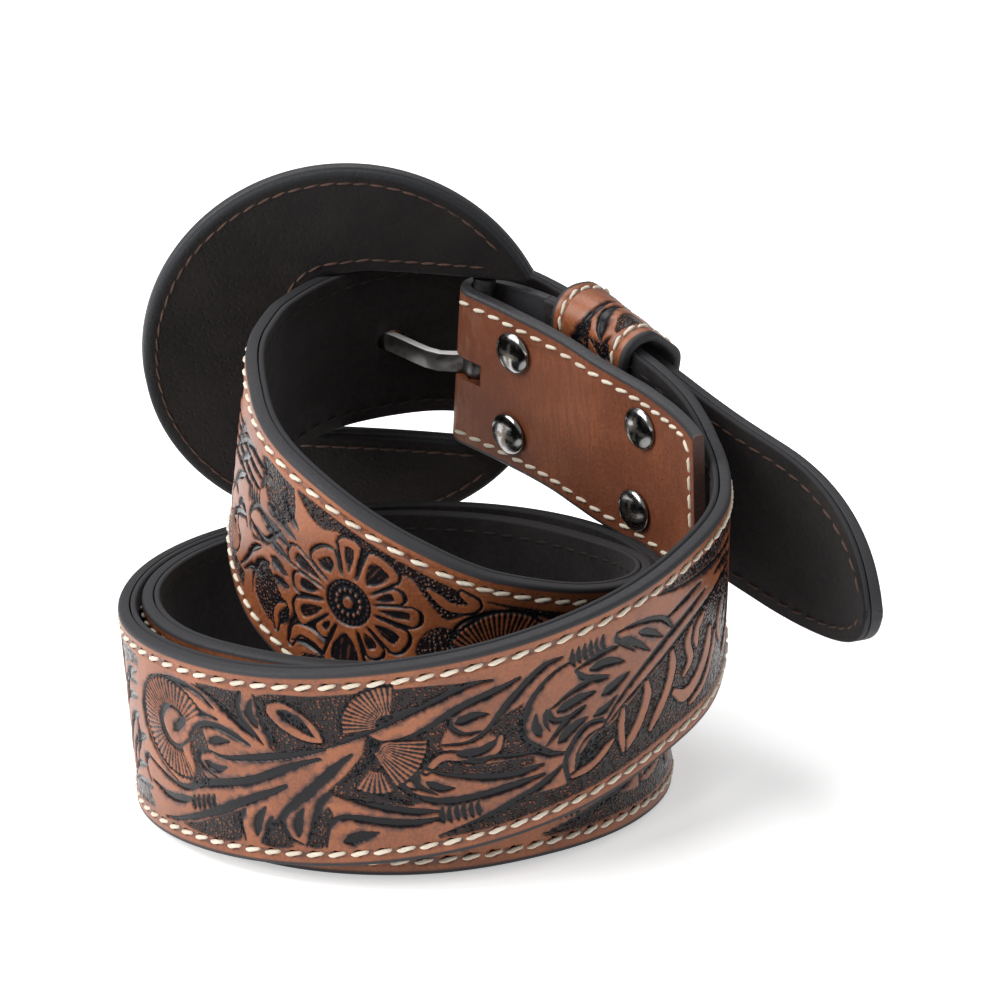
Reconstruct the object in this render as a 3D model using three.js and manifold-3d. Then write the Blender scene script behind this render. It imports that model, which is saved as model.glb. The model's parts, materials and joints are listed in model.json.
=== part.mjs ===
import * as THREE from 'three';
import { mergeVertices } from 'three/addons/utils/BufferGeometryUtils.js';
import Module from 'manifold-3d';

// A tooled Western belt, coiled on its edge and buckled, the buckle seen from its back.
// Millimetres, +Z up, the camera side is -Y. The coil's axis is the line x = y = 0.

// Strap
const BODY_WIDTH = 44.5;
const END_WIDTH = 37.5;
const LEATHER = 2.4;
const LINING = 1.2;
const GLUE_GAP = 0.3;
const STRAP = LEATHER + LINING + GLUE_GAP;
const EDGE_ROUND = 0.7;
const SECTION_STEP = 7;

// Eased corners take no more than these shares of a piece's half width or of a rim's width
const EASE_SHARE = 0.4;
const RIM_EASE_SHARE = 0.3;

// Sides of the round pieces
const BAR_SIDES = 20;
const RING_SIDES = 24;
const HEAD_SIDES = 14;
const HOLE_SIDES = 12;

// Steps of the searches along the belt, in millimetres and degrees, and of a halving one
const FINE_STEP = 0.25;
const COARSE_STEP = 0.5;
const HALVINGS = 40;
const MERGE_WITHIN = 1e-4;

// Coil: the radius, and the height that the billet's lower edge is lifted to
const COIL_RADIUS = 60;
const BILLET_LIFT = 60;
const TURN_GAP = 0.4;
const LAYER = STRAP + TURN_GAP;

// Widths change from the billet to the body, and from the body to the tip
const BILLET_END = 60;
const BILLET_TAPER = 60;
const TIP_LENGTH = 42;
const TIP_ROUNDNESS = 0.54;
const TIP_STRAIGHT = 123;
const TIP_TAPER = 60;
const TIP_BLUNT = 1.2;
const TIP_STEPS = 10;

// Heel bar, and the fold round it
const BAR_DIAMETER = 5;
const BAR_FIT = 0.3;
const BAR_BEARING = 80.5;
const BAR_REACH = 1.135;
const BAR_LIFT = 0.915;
const FOLD_RADIUS = BAR_DIAMETER / 2 + BAR_FIT + LEATHER / 2;
const FOLD_WRAP = 161;
const FOLD_STEPS = 9;
const FLAP_HEADING = -39;
const FLAP_DROP = -9.6;
const BAR_LEAN = 6.3;

// Flap
const FLAP_END_BEARING = 5;
const LINING_START = 15;

// Screws that hold the flap, each with a post from the tooled side
const SCREW_HEAD = 9.4;
const SCREW_DOME = 1.9;
const SCREW_SHANK = 3.4;
const SCREW_FIT = 0.45;
const SCREW_SEAT = 0.3;
const POST_HEAD = 8.4;
const POST_HEAD_THICK = 1;
const POST_REACH = 5;
const POST_EASE = 0.3;
const SCREW_SPREAD = 20;
// Each pair's distance along the flap
const SCREW_RUNS = [14, 52.8];
// The share of the dome that stands straight up at the head's edge
const DOME_WALL = 0.2;
const DOME_STEPS = 3;

// Prong: its width and thickness, the ring round the bar, and the strap's holes for it
const PRONG_WIDTH = 4.2;
const PRONG_THICK = 1.8;
const PRONG_RING_WALL = 1.1;
const PRONG_SIDE_FIT = 0.5;
const PRONG_OVERLAP = 4;
const HOLE_DIAMETER = 5.4;
const HOLE_PITCH = 25.4;
const HOLE_PAST = 0.5;
const HOLE_COUNT = 5;
const PRONG_HOLE_INDEX = 2;
const PRONG_HOLE_OFFSET = 21.8;
const PRONG_ROOT = 9.5;
const PRONG_BOW = 3.8;
const PRONG_TAPER = 0.15;
const PRONG_STEPS = 16;

// Buckle: a C of two leathers, open at the right, with the bar's ends between them
const BUCKLE_WIDTH = 90;
const BUCKLE_HEIGHT = 87.5;
const BUCKLE_BACK = 2;
const BUCKLE_FRONT = 2.7;
const BUCKLE_BOW_RADIUS = 250;
const BUCKLE_EDGE = 0.7;
const HORN_LENGTH = 16.1;
const HORN_BLUNT = 2.6;
const BUCKLE_RISE = 1;
const WINDOW_LENGTH = 41;
const WINDOW_RISE = 0.8;
const WINDOW_FIT = 1.6;
const WINDOW_CORNER = 4;
const BUCKLE_STEPS = 58;
const LUG_LENGTH = 10;
const LUG_WIDTH = 7;
const LUG_THICK = 1.2;
const LUG_START = 0.4;

// Keeper
const KEEPER_WIDTH = 22.6;
const KEEPER_WALL = 2;
const KEEPER_CORNER = 5.5;
const KEEPER_FIT = 0.6;
const KEEPER_SLACK = 2.4;
const KEEPER_RISE = 2.2;
const KEEPER_BEARING = 55.2;
const KEEPER_SIDES = 20;
const KEEPER_SHARES = [-1, -0.5, 0, 0.5, 1];

// The strap's route, a row for each section. bearing is degrees round the coil and falls
// along the belt. reach is the centre line's distance from the axis as a share of
// COIL_RADIUS, plus layers strap layers. lift is the lower edge's height as a share of
// BILLET_LIFT, and lean tips the upper edge away from the axis.
const ROUTE = [
  { bearing: 63, reach: 1.105, layers: 0, lift: 0.87, lean: -7 },
  { bearing: 45, reach: 1.025, layers: 0, lift: 0.8, lean: -6 },
  { bearing: 27, reach: 1.025, layers: 0, lift: 0.685, lean: -4 },
  { bearing: 9, reach: 1.015, layers: 0, lift: 0.525, lean: -0.5 },
  { bearing: -10, reach: 0.99, layers: 0, lift: 0.395, lean: 4 },
  { bearing: -35, reach: 0.935, layers: 0, lift: 0.305, lean: 8.7 },
  { bearing: -60, reach: 0.923, layers: 0, lift: 0.22, lean: 9.5 },
  { bearing: -90, reach: 0.945, layers: 0, lift: 0.135, lean: 10.2 },
  { bearing: -120, reach: 0.985, layers: 0, lift: 0.075, lean: 10.5 },
  { bearing: -150, reach: 0.94, layers: 1, lift: 0.04, lean: 7 },
  { bearing: -180, reach: 0.935, layers: 1, lift: 0.01, lean: 2.5 },
  { bearing: -210, reach: 0.928, layers: 1, lift: 0, lean: 0.5 },
  { bearing: -245, reach: 0.888, layers: 1, lift: 0, lean: 0 },
  { bearing: -280, reach: 0.86, layers: 1, lift: 0, lean: 0 },
  { bearing: -315, reach: 0.89, layers: 0, lift: 0, lean: -0.5 },
  { bearing: -350, reach: 0.828, layers: 0, lift: 0, lean: 0.2 },
  { bearing: -385, reach: 0.765, layers: 0, lift: 0.01, lean: 1.2 },
  { bearing: -420, reach: 0.73, layers: 0, lift: 0.014, lean: 1.6 },
  { bearing: -455, reach: 0.755, layers: 0, lift: 0.008, lean: 0 },
  { bearing: -490, reach: 0.833, layers: 0, lift: 0.01, lean: 0 },
  { bearing: -515, reach: 0.896, layers: 0, lift: 0.008, lean: 3 },
  { bearing: -540, reach: 0.935, layers: 0, lift: 0.006, lean: 2.5 },
  { bearing: -570, reach: 0.928, layers: 0, lift: 0.004, lean: 0.5 },
  { bearing: -605, reach: 0.886, layers: 0, lift: 0, lean: -0.5 },
  { bearing: -640, reach: 0.828, layers: 0, lift: 0, lean: -2.3 },
  { bearing: -680, reach: 0.775, layers: 0, lift: 0.008, lean: -1.6 },
  { bearing: -715, reach: 0.733, layers: 0, lift: 0.062, lean: 2.2 },
  { bearing: -750, reach: 0.667, layers: 0, lift: 0.14, lean: 3.8 },
  { bearing: -785, reach: 0.607, layers: 0, lift: 0.262, lean: 6.5 },
  { bearing: -815, reach: 0.563, layers: 0, lift: 0.42, lean: 7 },
  { bearing: -845, reach: 0.538, layers: 0, lift: 0.555, lean: 5 },
  { bearing: -875, reach: 0.553, layers: 0, lift: 0.655, lean: -0.5 },
  { bearing: -905, reach: 0.603, layers: 0, lift: 0.747, lean: -5 },
  { bearing: -925, reach: 0.692, layers: 0, lift: 0.81, lean: -7 },
  { bearing: -943, reach: 0.825, layers: 0, lift: 0.86, lean: -8.5 },
  { bearing: -958, reach: 1.01, layers: 0, lift: 0.913, lean: -9.5 },
  { bearing: -969, reach: 1.145, layers: 0, lift: 0.952, lean: -10 },
  { bearing: -980, reach: 1.235, layers: 0, lift: 0.972, lean: -10 },
  { bearing: -993, reach: 1.2, layers: 1.2, lift: 0.982, lean: -9.5 },
  { bearing: -1003, reach: 1.187, layers: 1.3, lift: 0.955, lean: -8.5 },
  { bearing: -1017, reach: 1.105, layers: 1.45, lift: 0.872, lean: -7 },
  { bearing: -1035, reach: 1.025, layers: 1.55, lift: 0.737, lean: -5.5 },
  { bearing: -1057, reach: 1.095, layers: 1.75, lift: 0.565, lean: -4.5 },
  { bearing: -1089, reach: 1.38, layers: 2.2, lift: 0.41, lean: -3 },
];

// The flap's stand-off from the strap's inner face, as a share of the fold's diameter, and
// its lower edge's height as a share of BILLET_LIFT, beside the same bearings.
const FLAP_ROUTE = [
  { bearing: 70, gap: 0.9, lift: 0.863, lean: -6.5 },
  { bearing: 58, gap: 0.93, lift: 0.824, lean: -6.3 },
  { bearing: 45, gap: 0.74, lift: 0.771, lean: -6 },
  { bearing: 33, gap: 0.56, lift: 0.723, lean: -5.5 },
  { bearing: 20, gap: 0.34, lift: 0.681, lean: -4.5 },
  { bearing: 5, gap: 0.06, lift: 0.65, lean: -3 },
];

const group = new THREE.Group();
const wasm = await Module();
wasm.setup();
const UP = new THREE.Vector3(0, 0, 1);
const rad = THREE.MathUtils.degToRad;
const deg = THREE.MathUtils.radToDeg;

// Curves

// Cubic through (xs, ys) with rising xs. first is the slope at the start where it is known.
function throughPoints(xs, ys, first) {
  const n = xs.length;
  const slope = ys.map((y, i) => {
    const a = Math.max(i - 1, 0);
    const b = Math.min(i + 1, n - 1);
    return (ys[b] - ys[a]) / (xs[b] - xs[a]);
  });
  if (first !== undefined) slope[0] = first;
  return (x) => {
    let i = 0;
    while (i < n - 2 && x > xs[i + 1]) i += 1;
    const h = xs[i + 1] - xs[i];
    const t = (x - xs[i]) / h;
    const start = (1 + 2 * t) * (1 - t) ** 2 * ys[i] + t * (1 - t) ** 2 * h * slope[i];
    return start + t * t * (3 - 2 * t) * ys[i + 1] + t * t * (t - 1) * h * slope[i + 1];
  };
}

function smooth(t) {
  const c = THREE.MathUtils.clamp(t, 0, 1);
  return c * c * (3 - 2 * c);
}

// Half the width of the pointed tip at a distance from its end
function tipHalf(fromEnd, half) {
  const t = THREE.MathUtils.clamp(fromEnd / TIP_LENGTH, 0, 1);
  return half * (1 - (1 - t) ** 2) ** TIP_ROUNDNESS;
}

// Frames of a line of points: side is across the strap, out is its tooled side
function addFrames(points, leans) {
  const n = points.length;
  return points.map((p, i) => {
    const ahead = points[Math.min(i + 1, n - 1)];
    const behind = points[Math.max(i - 1, 0)];
    const along = ahead.clone().sub(behind).normalize();
    const side = UP.clone().addScaledVector(along, -along.dot(UP)).normalize();
    const out = side.clone().cross(along);
    const lean = rad(leans[i]);
    return {
      point: p,
      along,
      side: side.clone().multiplyScalar(Math.cos(lean)).addScaledVector(out, Math.sin(lean)),
      out: out.clone().multiplyScalar(Math.cos(lean)).addScaledVector(side, -Math.sin(lean)),
    };
  });
}

function distances(points) {
  const s = [0];
  for (let i = 1; i < points.length; i += 1) s.push(s[i - 1] + points[i].distanceTo(points[i - 1]));
  return s;
}

// A stretch given by radius, lower edge and lean over the bearing, from one bearing down
// to another, with sections about SECTION_STEP apart and widths from their place along it
function layRoute(radiusAt, lowAt, leanAt, from, to, widthAt) {
  const samples = Math.ceil((from - to) / COARSE_STEP);
  const plan = (bearing, z) => new THREE.Vector3(
    radiusAt(-bearing) * Math.cos(rad(bearing)), radiusAt(-bearing) * Math.sin(rad(bearing)), z);
  const fine = [];
  for (let i = 0; i <= samples; i += 1) {
    const bearing = from + (to - from) * i / samples;
    fine.push(plan(bearing, lowAt(-bearing)));
  }
  const run = distances(fine);
  const total = run[samples];
  const count = Math.round(total / SECTION_STEP);
  const bearings = [];
  let j = 0;
  for (let i = 0; i <= count; i += 1) {
    const target = total * i / count;
    while (j < samples - 1 && run[j + 1] < target) j += 1;
    const share = (target - run[j]) / (run[j + 1] - run[j]);
    bearings.push(from + (to - from) * (j + share) / samples);
  }
  const widths = bearings.map((b, i) => widthAt(total * i / count, total));
  const leans = bearings.map((b) => leanAt(-b));
  let frames = addFrames(bearings.map((b) => plan(b, lowAt(-b))), leans);
  for (let pass = 0; pass < 2; pass += 1) {
    const points = bearings.map((b, i) => plan(b, lowAt(-b) + widths[i] / 2 * frames[i].side.z));
    frames = addFrames(points, leans);
  }
  return frames.map((f, i) => ({
    ...f, width: widths[i], run: total * i / count, total, bearing: bearings[i],
  }));
}

// The fold round the heel bar

const barAxis = (() => {
  const heading = rad(FLAP_HEADING);
  const drop = rad(FLAP_DROP);
  const along = new THREE.Vector3(
    Math.cos(heading) * Math.cos(drop), Math.sin(heading) * Math.cos(drop), Math.sin(drop));
  const side = UP.clone().addScaledVector(along, -along.dot(UP)).normalize();
  const near = along.clone().cross(side);
  const lean = rad(BAR_LEAN);
  return {
    along,
    side: side.clone().multiplyScalar(Math.cos(lean)).addScaledVector(near, Math.sin(lean)),
    near: near.clone().multiplyScalar(Math.cos(lean)).addScaledVector(side, -Math.sin(lean)),
  };
})();
const barCentre = new THREE.Vector3(
  BAR_REACH * COIL_RADIUS * Math.cos(rad(BAR_BEARING)),
  BAR_REACH * COIL_RADIUS * Math.sin(rad(BAR_BEARING)),
  BAR_LIFT * BILLET_LIFT + END_WIDTH / 2 * barAxis.side.z);

// A section of the fold at an angle from the flap's side of the bar
function foldSection(angle) {
  const a = rad(angle);
  const out = barAxis.near.clone().multiplyScalar(Math.cos(a)).addScaledVector(barAxis.along, -Math.sin(a));
  const along = barAxis.near.clone().multiplyScalar(-Math.sin(a)).addScaledVector(barAxis.along, -Math.cos(a));
  const point = barCentre.clone().addScaledVector(out, FOLD_RADIUS);
  return { point, out, along, side: barAxis.side.clone(), width: END_WIDTH };
}

// Where a stretch leaves the fold: its bearing, radius, lower edge and their slopes
function leavingFold(section, direction, inward) {
  const p = section.point.clone().addScaledVector(section.out, -inward);
  const radius = Math.hypot(p.x, p.y);
  const radial = new THREE.Vector3(p.x / radius, p.y / radius, 0);
  const round = new THREE.Vector3(p.y / radius, -p.x / radius, 0);
  const along = section.along.clone().multiplyScalar(direction);
  const turn = along.dot(round);
  const side = UP.clone().addScaledVector(along, -along.dot(UP)).normalize();
  const out = side.clone().cross(along);
  const perRadian = radius / turn;
  return {
    bearing: deg(Math.atan2(p.y, p.x)),
    radius,
    low: p.z - END_WIDTH / 2 * section.side.z,
    lean: deg(Math.atan2(section.side.dot(out), section.side.dot(side))),
    radiusSlope: rad(along.dot(radial) * perRadian),
    lowSlope: rad(along.z * perRadian),
  };
}

// The main strap, from the fold to the tip, by the centre of its whole thickness

const mainStart = leavingFold(foldSection(FOLD_WRAP), 1, (LINING + GLUE_GAP) / 2);
const mainBearings = [-mainStart.bearing, ...ROUTE.map((r) => -r.bearing)];
const routeRadius = ROUTE.map((r) => r.reach * COIL_RADIUS + r.layers * LAYER);
const mainRadius = throughPoints(mainBearings, [mainStart.radius, ...routeRadius], mainStart.radiusSlope);
const routeLow = throughPoints(
  mainBearings, [mainStart.low, ...ROUTE.map((r) => r.lift * BILLET_LIFT)], mainStart.lowSlope);
const mainLean = throughPoints(mainBearings, [mainStart.lean, ...ROUTE.map((r) => r.lean)]);
// A leaning edge keeps its lower corner off the floor
const mainLow = (bearing) => Math.max(
  routeLow(bearing), Math.abs(Math.sin(rad(mainLean(bearing)))) * STRAP / 2);

function mainWidth(run, total) {
  const body = smooth((run - BILLET_END) / BILLET_TAPER);
  const tip = smooth((total - run - TIP_LENGTH - TIP_STRAIGHT) / TIP_TAPER);
  return END_WIDTH + (BODY_WIDTH - END_WIDTH) * Math.min(body, tip);
}

const strap = layRoute(
  mainRadius, mainLow, mainLean, mainStart.bearing, ROUTE[ROUTE.length - 1].bearing, mainWidth);
const beltRun = strap[0].total;

// The flap, from the fold inward, standing off the strap's inner face

const flapStart = leavingFold(foldSection(0), -1, 0);
const flapOffset = STRAP / 2 + LEATHER / 2;
const flapRows = FLAP_ROUTE.map((r) => ({
  bearing: r.bearing,
  radius: mainRadius(-r.bearing) - flapOffset - GLUE_GAP - r.gap * 2 * FOLD_RADIUS,
  low: r.lift * BILLET_LIFT,
  lean: r.lean,
}));
const flapBearings = [-flapStart.bearing, ...flapRows.map((r) => -r.bearing)];
const flapRadius = throughPoints(
  flapBearings, [flapStart.radius, ...flapRows.map((r) => r.radius)], flapStart.radiusSlope);
const flapLow = throughPoints(
  flapBearings, [flapStart.low, ...flapRows.map((r) => r.low)], flapStart.lowSlope);
const flapLean = throughPoints(flapBearings, [flapStart.lean, ...flapRows.map((r) => r.lean)]);
const flap = layRoute(
  flapRadius, flapLow, flapLean, flapStart.bearing, FLAP_END_BEARING, () => END_WIDTH);

// Solids

// A closed solid through rings of points that all have the same count. Its ends are capped,
// or the last ring meets the first one.
function loft(rings, meets = false) {
  const n = rings[0].length;
  const last = (rings.length - 1) * n;
  const index = [];
  for (let i = 0; i < rings.length - (meets ? 0 : 1); i += 1) {
    const next = (i + 1) % rings.length * n;
    for (let k = 0; k < n; k += 1) {
      const a = i * n + k;
      const b = i * n + (k + 1) % n;
      const c = next + (k + 1) % n;
      index.push(a, b, c, a, c, next + k);
    }
  }
  for (let k = 1; k < n - 1 && !meets; k += 1) {
    index.push(0, k + 1, k);
    index.push(last, last + k, last + k + 1);
  }
  const points = rings.flat();
  let volume = 0;
  for (let i = 0; i < index.length; i += 3) {
    const [a, b, c] = [points[index[i]], points[index[i + 1]], points[index[i + 2]]];
    volume += a.dot(b.clone().cross(c));
  }
  if (volume < 0) index.reverse();
  const geometry = new THREE.BufferGeometry();
  geometry.setAttribute(
    'position', new THREE.Float32BufferAttribute(points.flatMap((p) => [p.x, p.y, p.z]), 3));
  geometry.setIndex(index);
  return geometry;
}

function toManifold(geometry) {
  const bare = geometry.clone();
  bare.deleteAttribute('normal');
  bare.deleteAttribute('uv');
  const merged = mergeVertices(bare, MERGE_WITHIN);
  return new wasm.Manifold(new wasm.Mesh({
    numProp: 3,
    vertProperties: new Float32Array(merged.attributes.position.array),
    triVerts: new Uint32Array(merged.index.array),
  }));
}

function fromManifold(solid) {
  const mesh = solid.getMesh();
  const geometry = new THREE.BufferGeometry();
  geometry.setAttribute('position', new THREE.Float32BufferAttribute(mesh.vertProperties, 3));
  geometry.setIndex(Array.from(mesh.triVerts));
  return geometry;
}

function cut(geometry, tools) {
  return fromManifold(tools.reduce((solid, tool) => solid.subtract(toManifold(tool)), toManifold(geometry)));
}

function join(geometries) {
  const solids = geometries.map(toManifold);
  return fromManifold(solids.slice(1).reduce((sum, solid) => sum.add(solid), solids[0]));
}

function addPart(name, geometry, color, roughness, metalness) {
  geometry.computeVertexNormals();
  const mesh = new THREE.Mesh(geometry, new THREE.MeshStandardMaterial({ color, roughness, metalness }));
  mesh.name = name;
  group.add(mesh);
}

// A round rod along z between two heights, placed by a matrix
function rod(diameter, from, to, sides, matrix) {
  const geometry = new THREE.CylinderGeometry(diameter / 2, diameter / 2, to - from, sides);
  geometry.rotateX(Math.PI / 2);
  geometry.translate(0, 0, (from + to) / 2);
  return geometry.applyMatrix4(matrix);
}

function block(x, y, z, matrix) {
  const geometry = new THREE.BoxGeometry(x[1] - x[0], y[1] - y[0], z[1] - z[0]);
  geometry.translate((x[0] + x[1]) / 2, (y[0] + y[1]) / 2, (z[0] + z[1]) / 2);
  return geometry.applyMatrix4(matrix);
}

// The place with z along a direction, and x as near as it can be to another one
function facing(origin, z, x) {
  const y = z.clone().cross(x).normalize();
  return new THREE.Matrix4().makeBasis(y.clone().cross(z).normalize(), y, z).setPosition(origin);
}

// Frame at a distance along the strap or the flap
function frameAt(sections, run) {
  const total = sections[0].total;
  const place = THREE.MathUtils.clamp(run / total, 0, 1) * (sections.length - 1);
  const i = Math.min(Math.floor(place), sections.length - 2);
  const [a, b, t] = [sections[i], sections[i + 1], place - i];
  const along = a.along.clone().lerp(b.along, t).normalize();
  const out = a.out.clone().lerp(b.out, t);
  out.addScaledVector(along, -out.dot(along)).normalize();
  return {
    point: a.point.clone().lerp(b.point, t),
    along,
    out,
    side: along.clone().cross(out),
    width: a.width + (b.width - a.width) * t,
    run,
    bearing: a.bearing + (b.bearing - a.bearing) * t,
  };
}

// The distance along the strap at a bearing
function runAt(bearing) {
  const i = strap.findIndex((s) => s.bearing <= bearing);
  const [a, b] = [strap[i - 1], strap[i]];
  return a.run + (b.run - a.run) * (a.bearing - bearing) / (a.bearing - b.bearing);
}

// The strap: its leather and lining

// The main strap's sections from a distance along it, closer together at the pointed tip
const tipStart = beltRun - TIP_LENGTH;
function mainSections(from) {
  const body = strap.filter((s) => s.run > from + 1 && s.run < tipStart - 1);
  const tip = [];
  for (let i = TIP_STEPS; i >= 0; i -= 1) {
    const fromEnd = TIP_LENGTH * (i / TIP_STEPS) ** 2;
    const section = frameAt(strap, beltRun - fromEnd);
    tip.push({ ...section, half: Math.max(tipHalf(fromEnd, section.width / 2), TIP_BLUNT) });
  }
  return [frameAt(strap, from), ...body].map((s) => ({ ...s, half: s.width / 2 })).concat(tip);
}

const at = (section, across, up) => section.point.clone()
  .addScaledVector(section.side, across).addScaledVector(section.out, up);

// A leather section with eased corners, between two heights over its point
function leatherRing(section, low, high) {
  const half = section.half;
  const ease = Math.min(EDGE_ROUND, half * EASE_SHARE);
  return [
    at(section, half - ease, high), at(section, half, high - ease),
    at(section, half, low + ease), at(section, half - ease, low),
    at(section, ease - half, low), at(section, -half, low + ease),
    at(section, -half, high - ease), at(section, ease - half, high),
  ];
}

const grain = STRAP / 2;
const flesh = grain - LEATHER;
const liningTop = flesh - GLUE_GAP;
const flapRings = flap.map((s) => leatherRing(
  { point: s.point, side: s.side, out: s.out.clone().negate(), half: END_WIDTH / 2 },
  -LEATHER / 2, LEATHER / 2)).reverse();
const foldRings = [];
for (let i = 1; i < FOLD_STEPS; i += 1) {
  const section = foldSection(FOLD_WRAP * i / FOLD_STEPS);
  foldRings.push(leatherRing({ ...section, half: END_WIDTH / 2 }, -LEATHER / 2, LEATHER / 2));
}
const mainRings = mainSections(0).map((s) => leatherRing(s, flesh, grain));
const leather = loft([...flapRings, ...foldRings, ...mainRings]);
const lining = loft(mainSections(LINING_START).map((s) => [
  at(s, s.half, liningTop), at(s, -s.half, liningTop), at(s, -s.half, -grain), at(s, s.half, -grain)]));

// The buckle's own frame: u along the belt, v along the bar, n out of the back leather

const buckleU = new THREE.Vector3(1, 0, 0);
buckleU.addScaledVector(barAxis.side, -buckleU.dot(barAxis.side)).normalize();
const buckleN = buckleU.clone().cross(barAxis.side);
const onBuckle = (u, v, n) => barCentre.clone()
  .addScaledVector(buckleU, u).addScaledVector(barAxis.side, v).addScaledVector(buckleN, n);
const bodyCentre = HORN_LENGTH - BUCKLE_WIDTH / 2;
const barTurn = -bodyCentre / BUCKLE_BOW_RADIUS;

// A point of the bowed buckle: u round the bow from the bar, v, and height over the middle
function onBow(u, v, height) {
  const turn = (u - bodyCentre) / BUCKLE_BOW_RADIUS;
  const radius = BUCKLE_BOW_RADIUS - height;
  return onBuckle(
    radius * Math.sin(turn) - BUCKLE_BOW_RADIUS * Math.sin(barTurn), v,
    BUCKLE_BOW_RADIUS * Math.cos(barTurn) - radius * Math.cos(turn));
}

const windowHalf = END_WIDTH / 2 + WINDOW_FIT;
const insideRim = (u, v) => Math.hypot(
  2 * (u - bodyCentre) / BUCKLE_WIDTH, 2 * (v - BUCKLE_RISE) / BUCKLE_HEIGHT) < 1;
function insideWindow(u, v) {
  const past = Math.max(-u - WINDOW_LENGTH + WINDOW_CORNER, 0);
  const above = Math.max(Math.abs(v - WINDOW_RISE) - windowHalf + WINDOW_CORNER, 0);
  return Math.hypot(past, above) < WINDOW_CORNER;
}

// How far a ray from a point in the window stays inside an outline
const pole = { u: -WINDOW_LENGTH / 4, v: WINDOW_RISE };
function reachInside(inside, angle) {
  let [near, far] = [0, BUCKLE_WIDTH];
  for (let i = 0; i < HALVINGS; i += 1) {
    const middle = (near + far) / 2;
    if (inside(pole.u + middle * Math.cos(angle), pole.v + middle * Math.sin(angle))) near = middle;
    else far = middle;
  }
  return near;
}

// One leather of the buckle: a C round the window from the upper horn to the lower one
function buckleLeather(low, high) {
  const cornerU = (v) => bodyCentre + BUCKLE_WIDTH / 2
    * Math.sqrt(1 - (2 * (v - BUCKLE_RISE) / BUCKLE_HEIGHT) ** 2);
  const top = WINDOW_RISE + windowHalf;
  const bottom = WINDOW_RISE - windowHalf;
  const blunt = rad(HORN_BLUNT);
  const from = Math.atan2(windowHalf, cornerU(top) - pole.u) + blunt;
  const to = 2 * Math.PI - Math.atan2(windowHalf, cornerU(bottom) - pole.u) - blunt;
  const rings = [];
  for (let i = 0; i <= BUCKLE_STEPS; i += 1) {
    const angle = from + (to - from) * i / BUCKLE_STEPS;
    const inner = reachInside(insideWindow, angle);
    const outer = reachInside(insideRim, angle);
    const ease = Math.min(BUCKLE_EDGE, (outer - inner) * RIM_EASE_SHARE);
    const on = (reach, height) => onBow(
      pole.u + reach * Math.cos(angle), pole.v + reach * Math.sin(angle), height);
    const middle = (inner + outer) / 2;
    rings.push([
      on(inner + ease, high), on(middle, high), on(outer - ease, high), on(outer, high - ease),
      on(outer, low + ease), on(outer - ease, low), on(middle, low), on(inner + ease, low),
      on(inner, low + ease), on(inner, high - ease),
    ]);
  }
  return loft(rings);
}

const backLeather = buckleLeather(GLUE_GAP / 2, GLUE_GAP / 2 + BUCKLE_BACK);
const frontLeather = buckleLeather(-GLUE_GAP / 2 - BUCKLE_FRONT, -GLUE_GAP / 2);

// The bar: a rod across the window, with flat ends let into the front leather
const barPlace = new THREE.Matrix4().makeBasis(
  onBow(1, 0, 0).sub(onBow(0, 0, 0)).normalize(), barAxis.side,
  onBow(0, 0, 1).sub(onBow(0, 0, 0))).setPosition(barCentre);
const lugTop = -GLUE_GAP / 2;
const lugs = (grow) => [1, -1].map((end) => {
  const inner = WINDOW_RISE + end * (windowHalf - LUG_START - grow);
  const outer = WINDOW_RISE + end * (windowHalf + LUG_LENGTH + grow);
  return block(
    [-LUG_WIDTH / 2 - grow, LUG_WIDTH / 2 + grow], [Math.min(inner, outer), Math.max(inner, outer)],
    [lugTop - LUG_THICK - grow, lugTop + (grow > 0 ? GLUE_GAP : 0)], barPlace);
});
const rodPlace = barPlace.clone().multiply(new THREE.Matrix4().makeRotationX(-Math.PI / 2));
const barRod = rod(
  BAR_DIAMETER, WINDOW_RISE - windowHalf + GLUE_GAP, WINDOW_RISE + windowHalf - GLUE_GAP,
  BAR_SIDES, rodPlace);

const toBuckle = (p) => {
  const d = p.clone().sub(barCentre);
  return { u: d.dot(buckleU), v: d.dot(barAxis.side), n: d.dot(buckleN) };
};

// The prong: a ring round the bar and a blade through the strap's hole to the front rim

const prongHoleRun = (() => {
  let run = beltRun - TIP_LENGTH - TIP_STRAIGHT;
  while (toBuckle(frameAt(strap, run).point).u < -PRONG_HOLE_OFFSET) run += FINE_STEP;
  return run;
})();
const prongHole = toBuckle(frameAt(strap, prongHoleRun).point);
const ringInner = BAR_DIAMETER + 2 * BAR_FIT;
const ringOuter = ringInner + 2 * PRONG_RING_WALL;
const restU = -WINDOW_LENGTH - PRONG_OVERLAP;
const restN = toBuckle(onBow(restU, 0, -GLUE_GAP / 2 - BUCKLE_FRONT)).n - GLUE_GAP - PRONG_THICK / 2;
const prongPath = new THREE.CatmullRomCurve3([
  onBuckle(-(ringInner + PRONG_RING_WALL) / 2, 0, 0),
  onBuckle(-PRONG_ROOT, 0, 0),
  onBuckle(prongHole.u, prongHole.v, prongHole.n),
  onBuckle((prongHole.u + restU) / 2, prongHole.v, (prongHole.n + restN) / 2 - PRONG_BOW),
  onBuckle(restU, prongHole.v, restN),
]);
const prongDirection = prongPath.getTangent(0.5);
const blade = loft(prongPath.getSpacedPoints(PRONG_STEPS).map((point, i) => {
  const along = prongPath.getTangentAt(i / PRONG_STEPS);
  const face = along.clone().cross(barAxis.side).normalize();
  const side = face.clone().cross(along);
  const section = { point, side, out: face };
  const narrow = 1 - PRONG_TAPER * (i / PRONG_STEPS) ** 2;
  const [w, t] = [PRONG_WIDTH / 2 * narrow, PRONG_THICK / 2];
  return [at(section, w, t), at(section, w, -t), at(section, -w, -t), at(section, -w, t)];
}));
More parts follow.
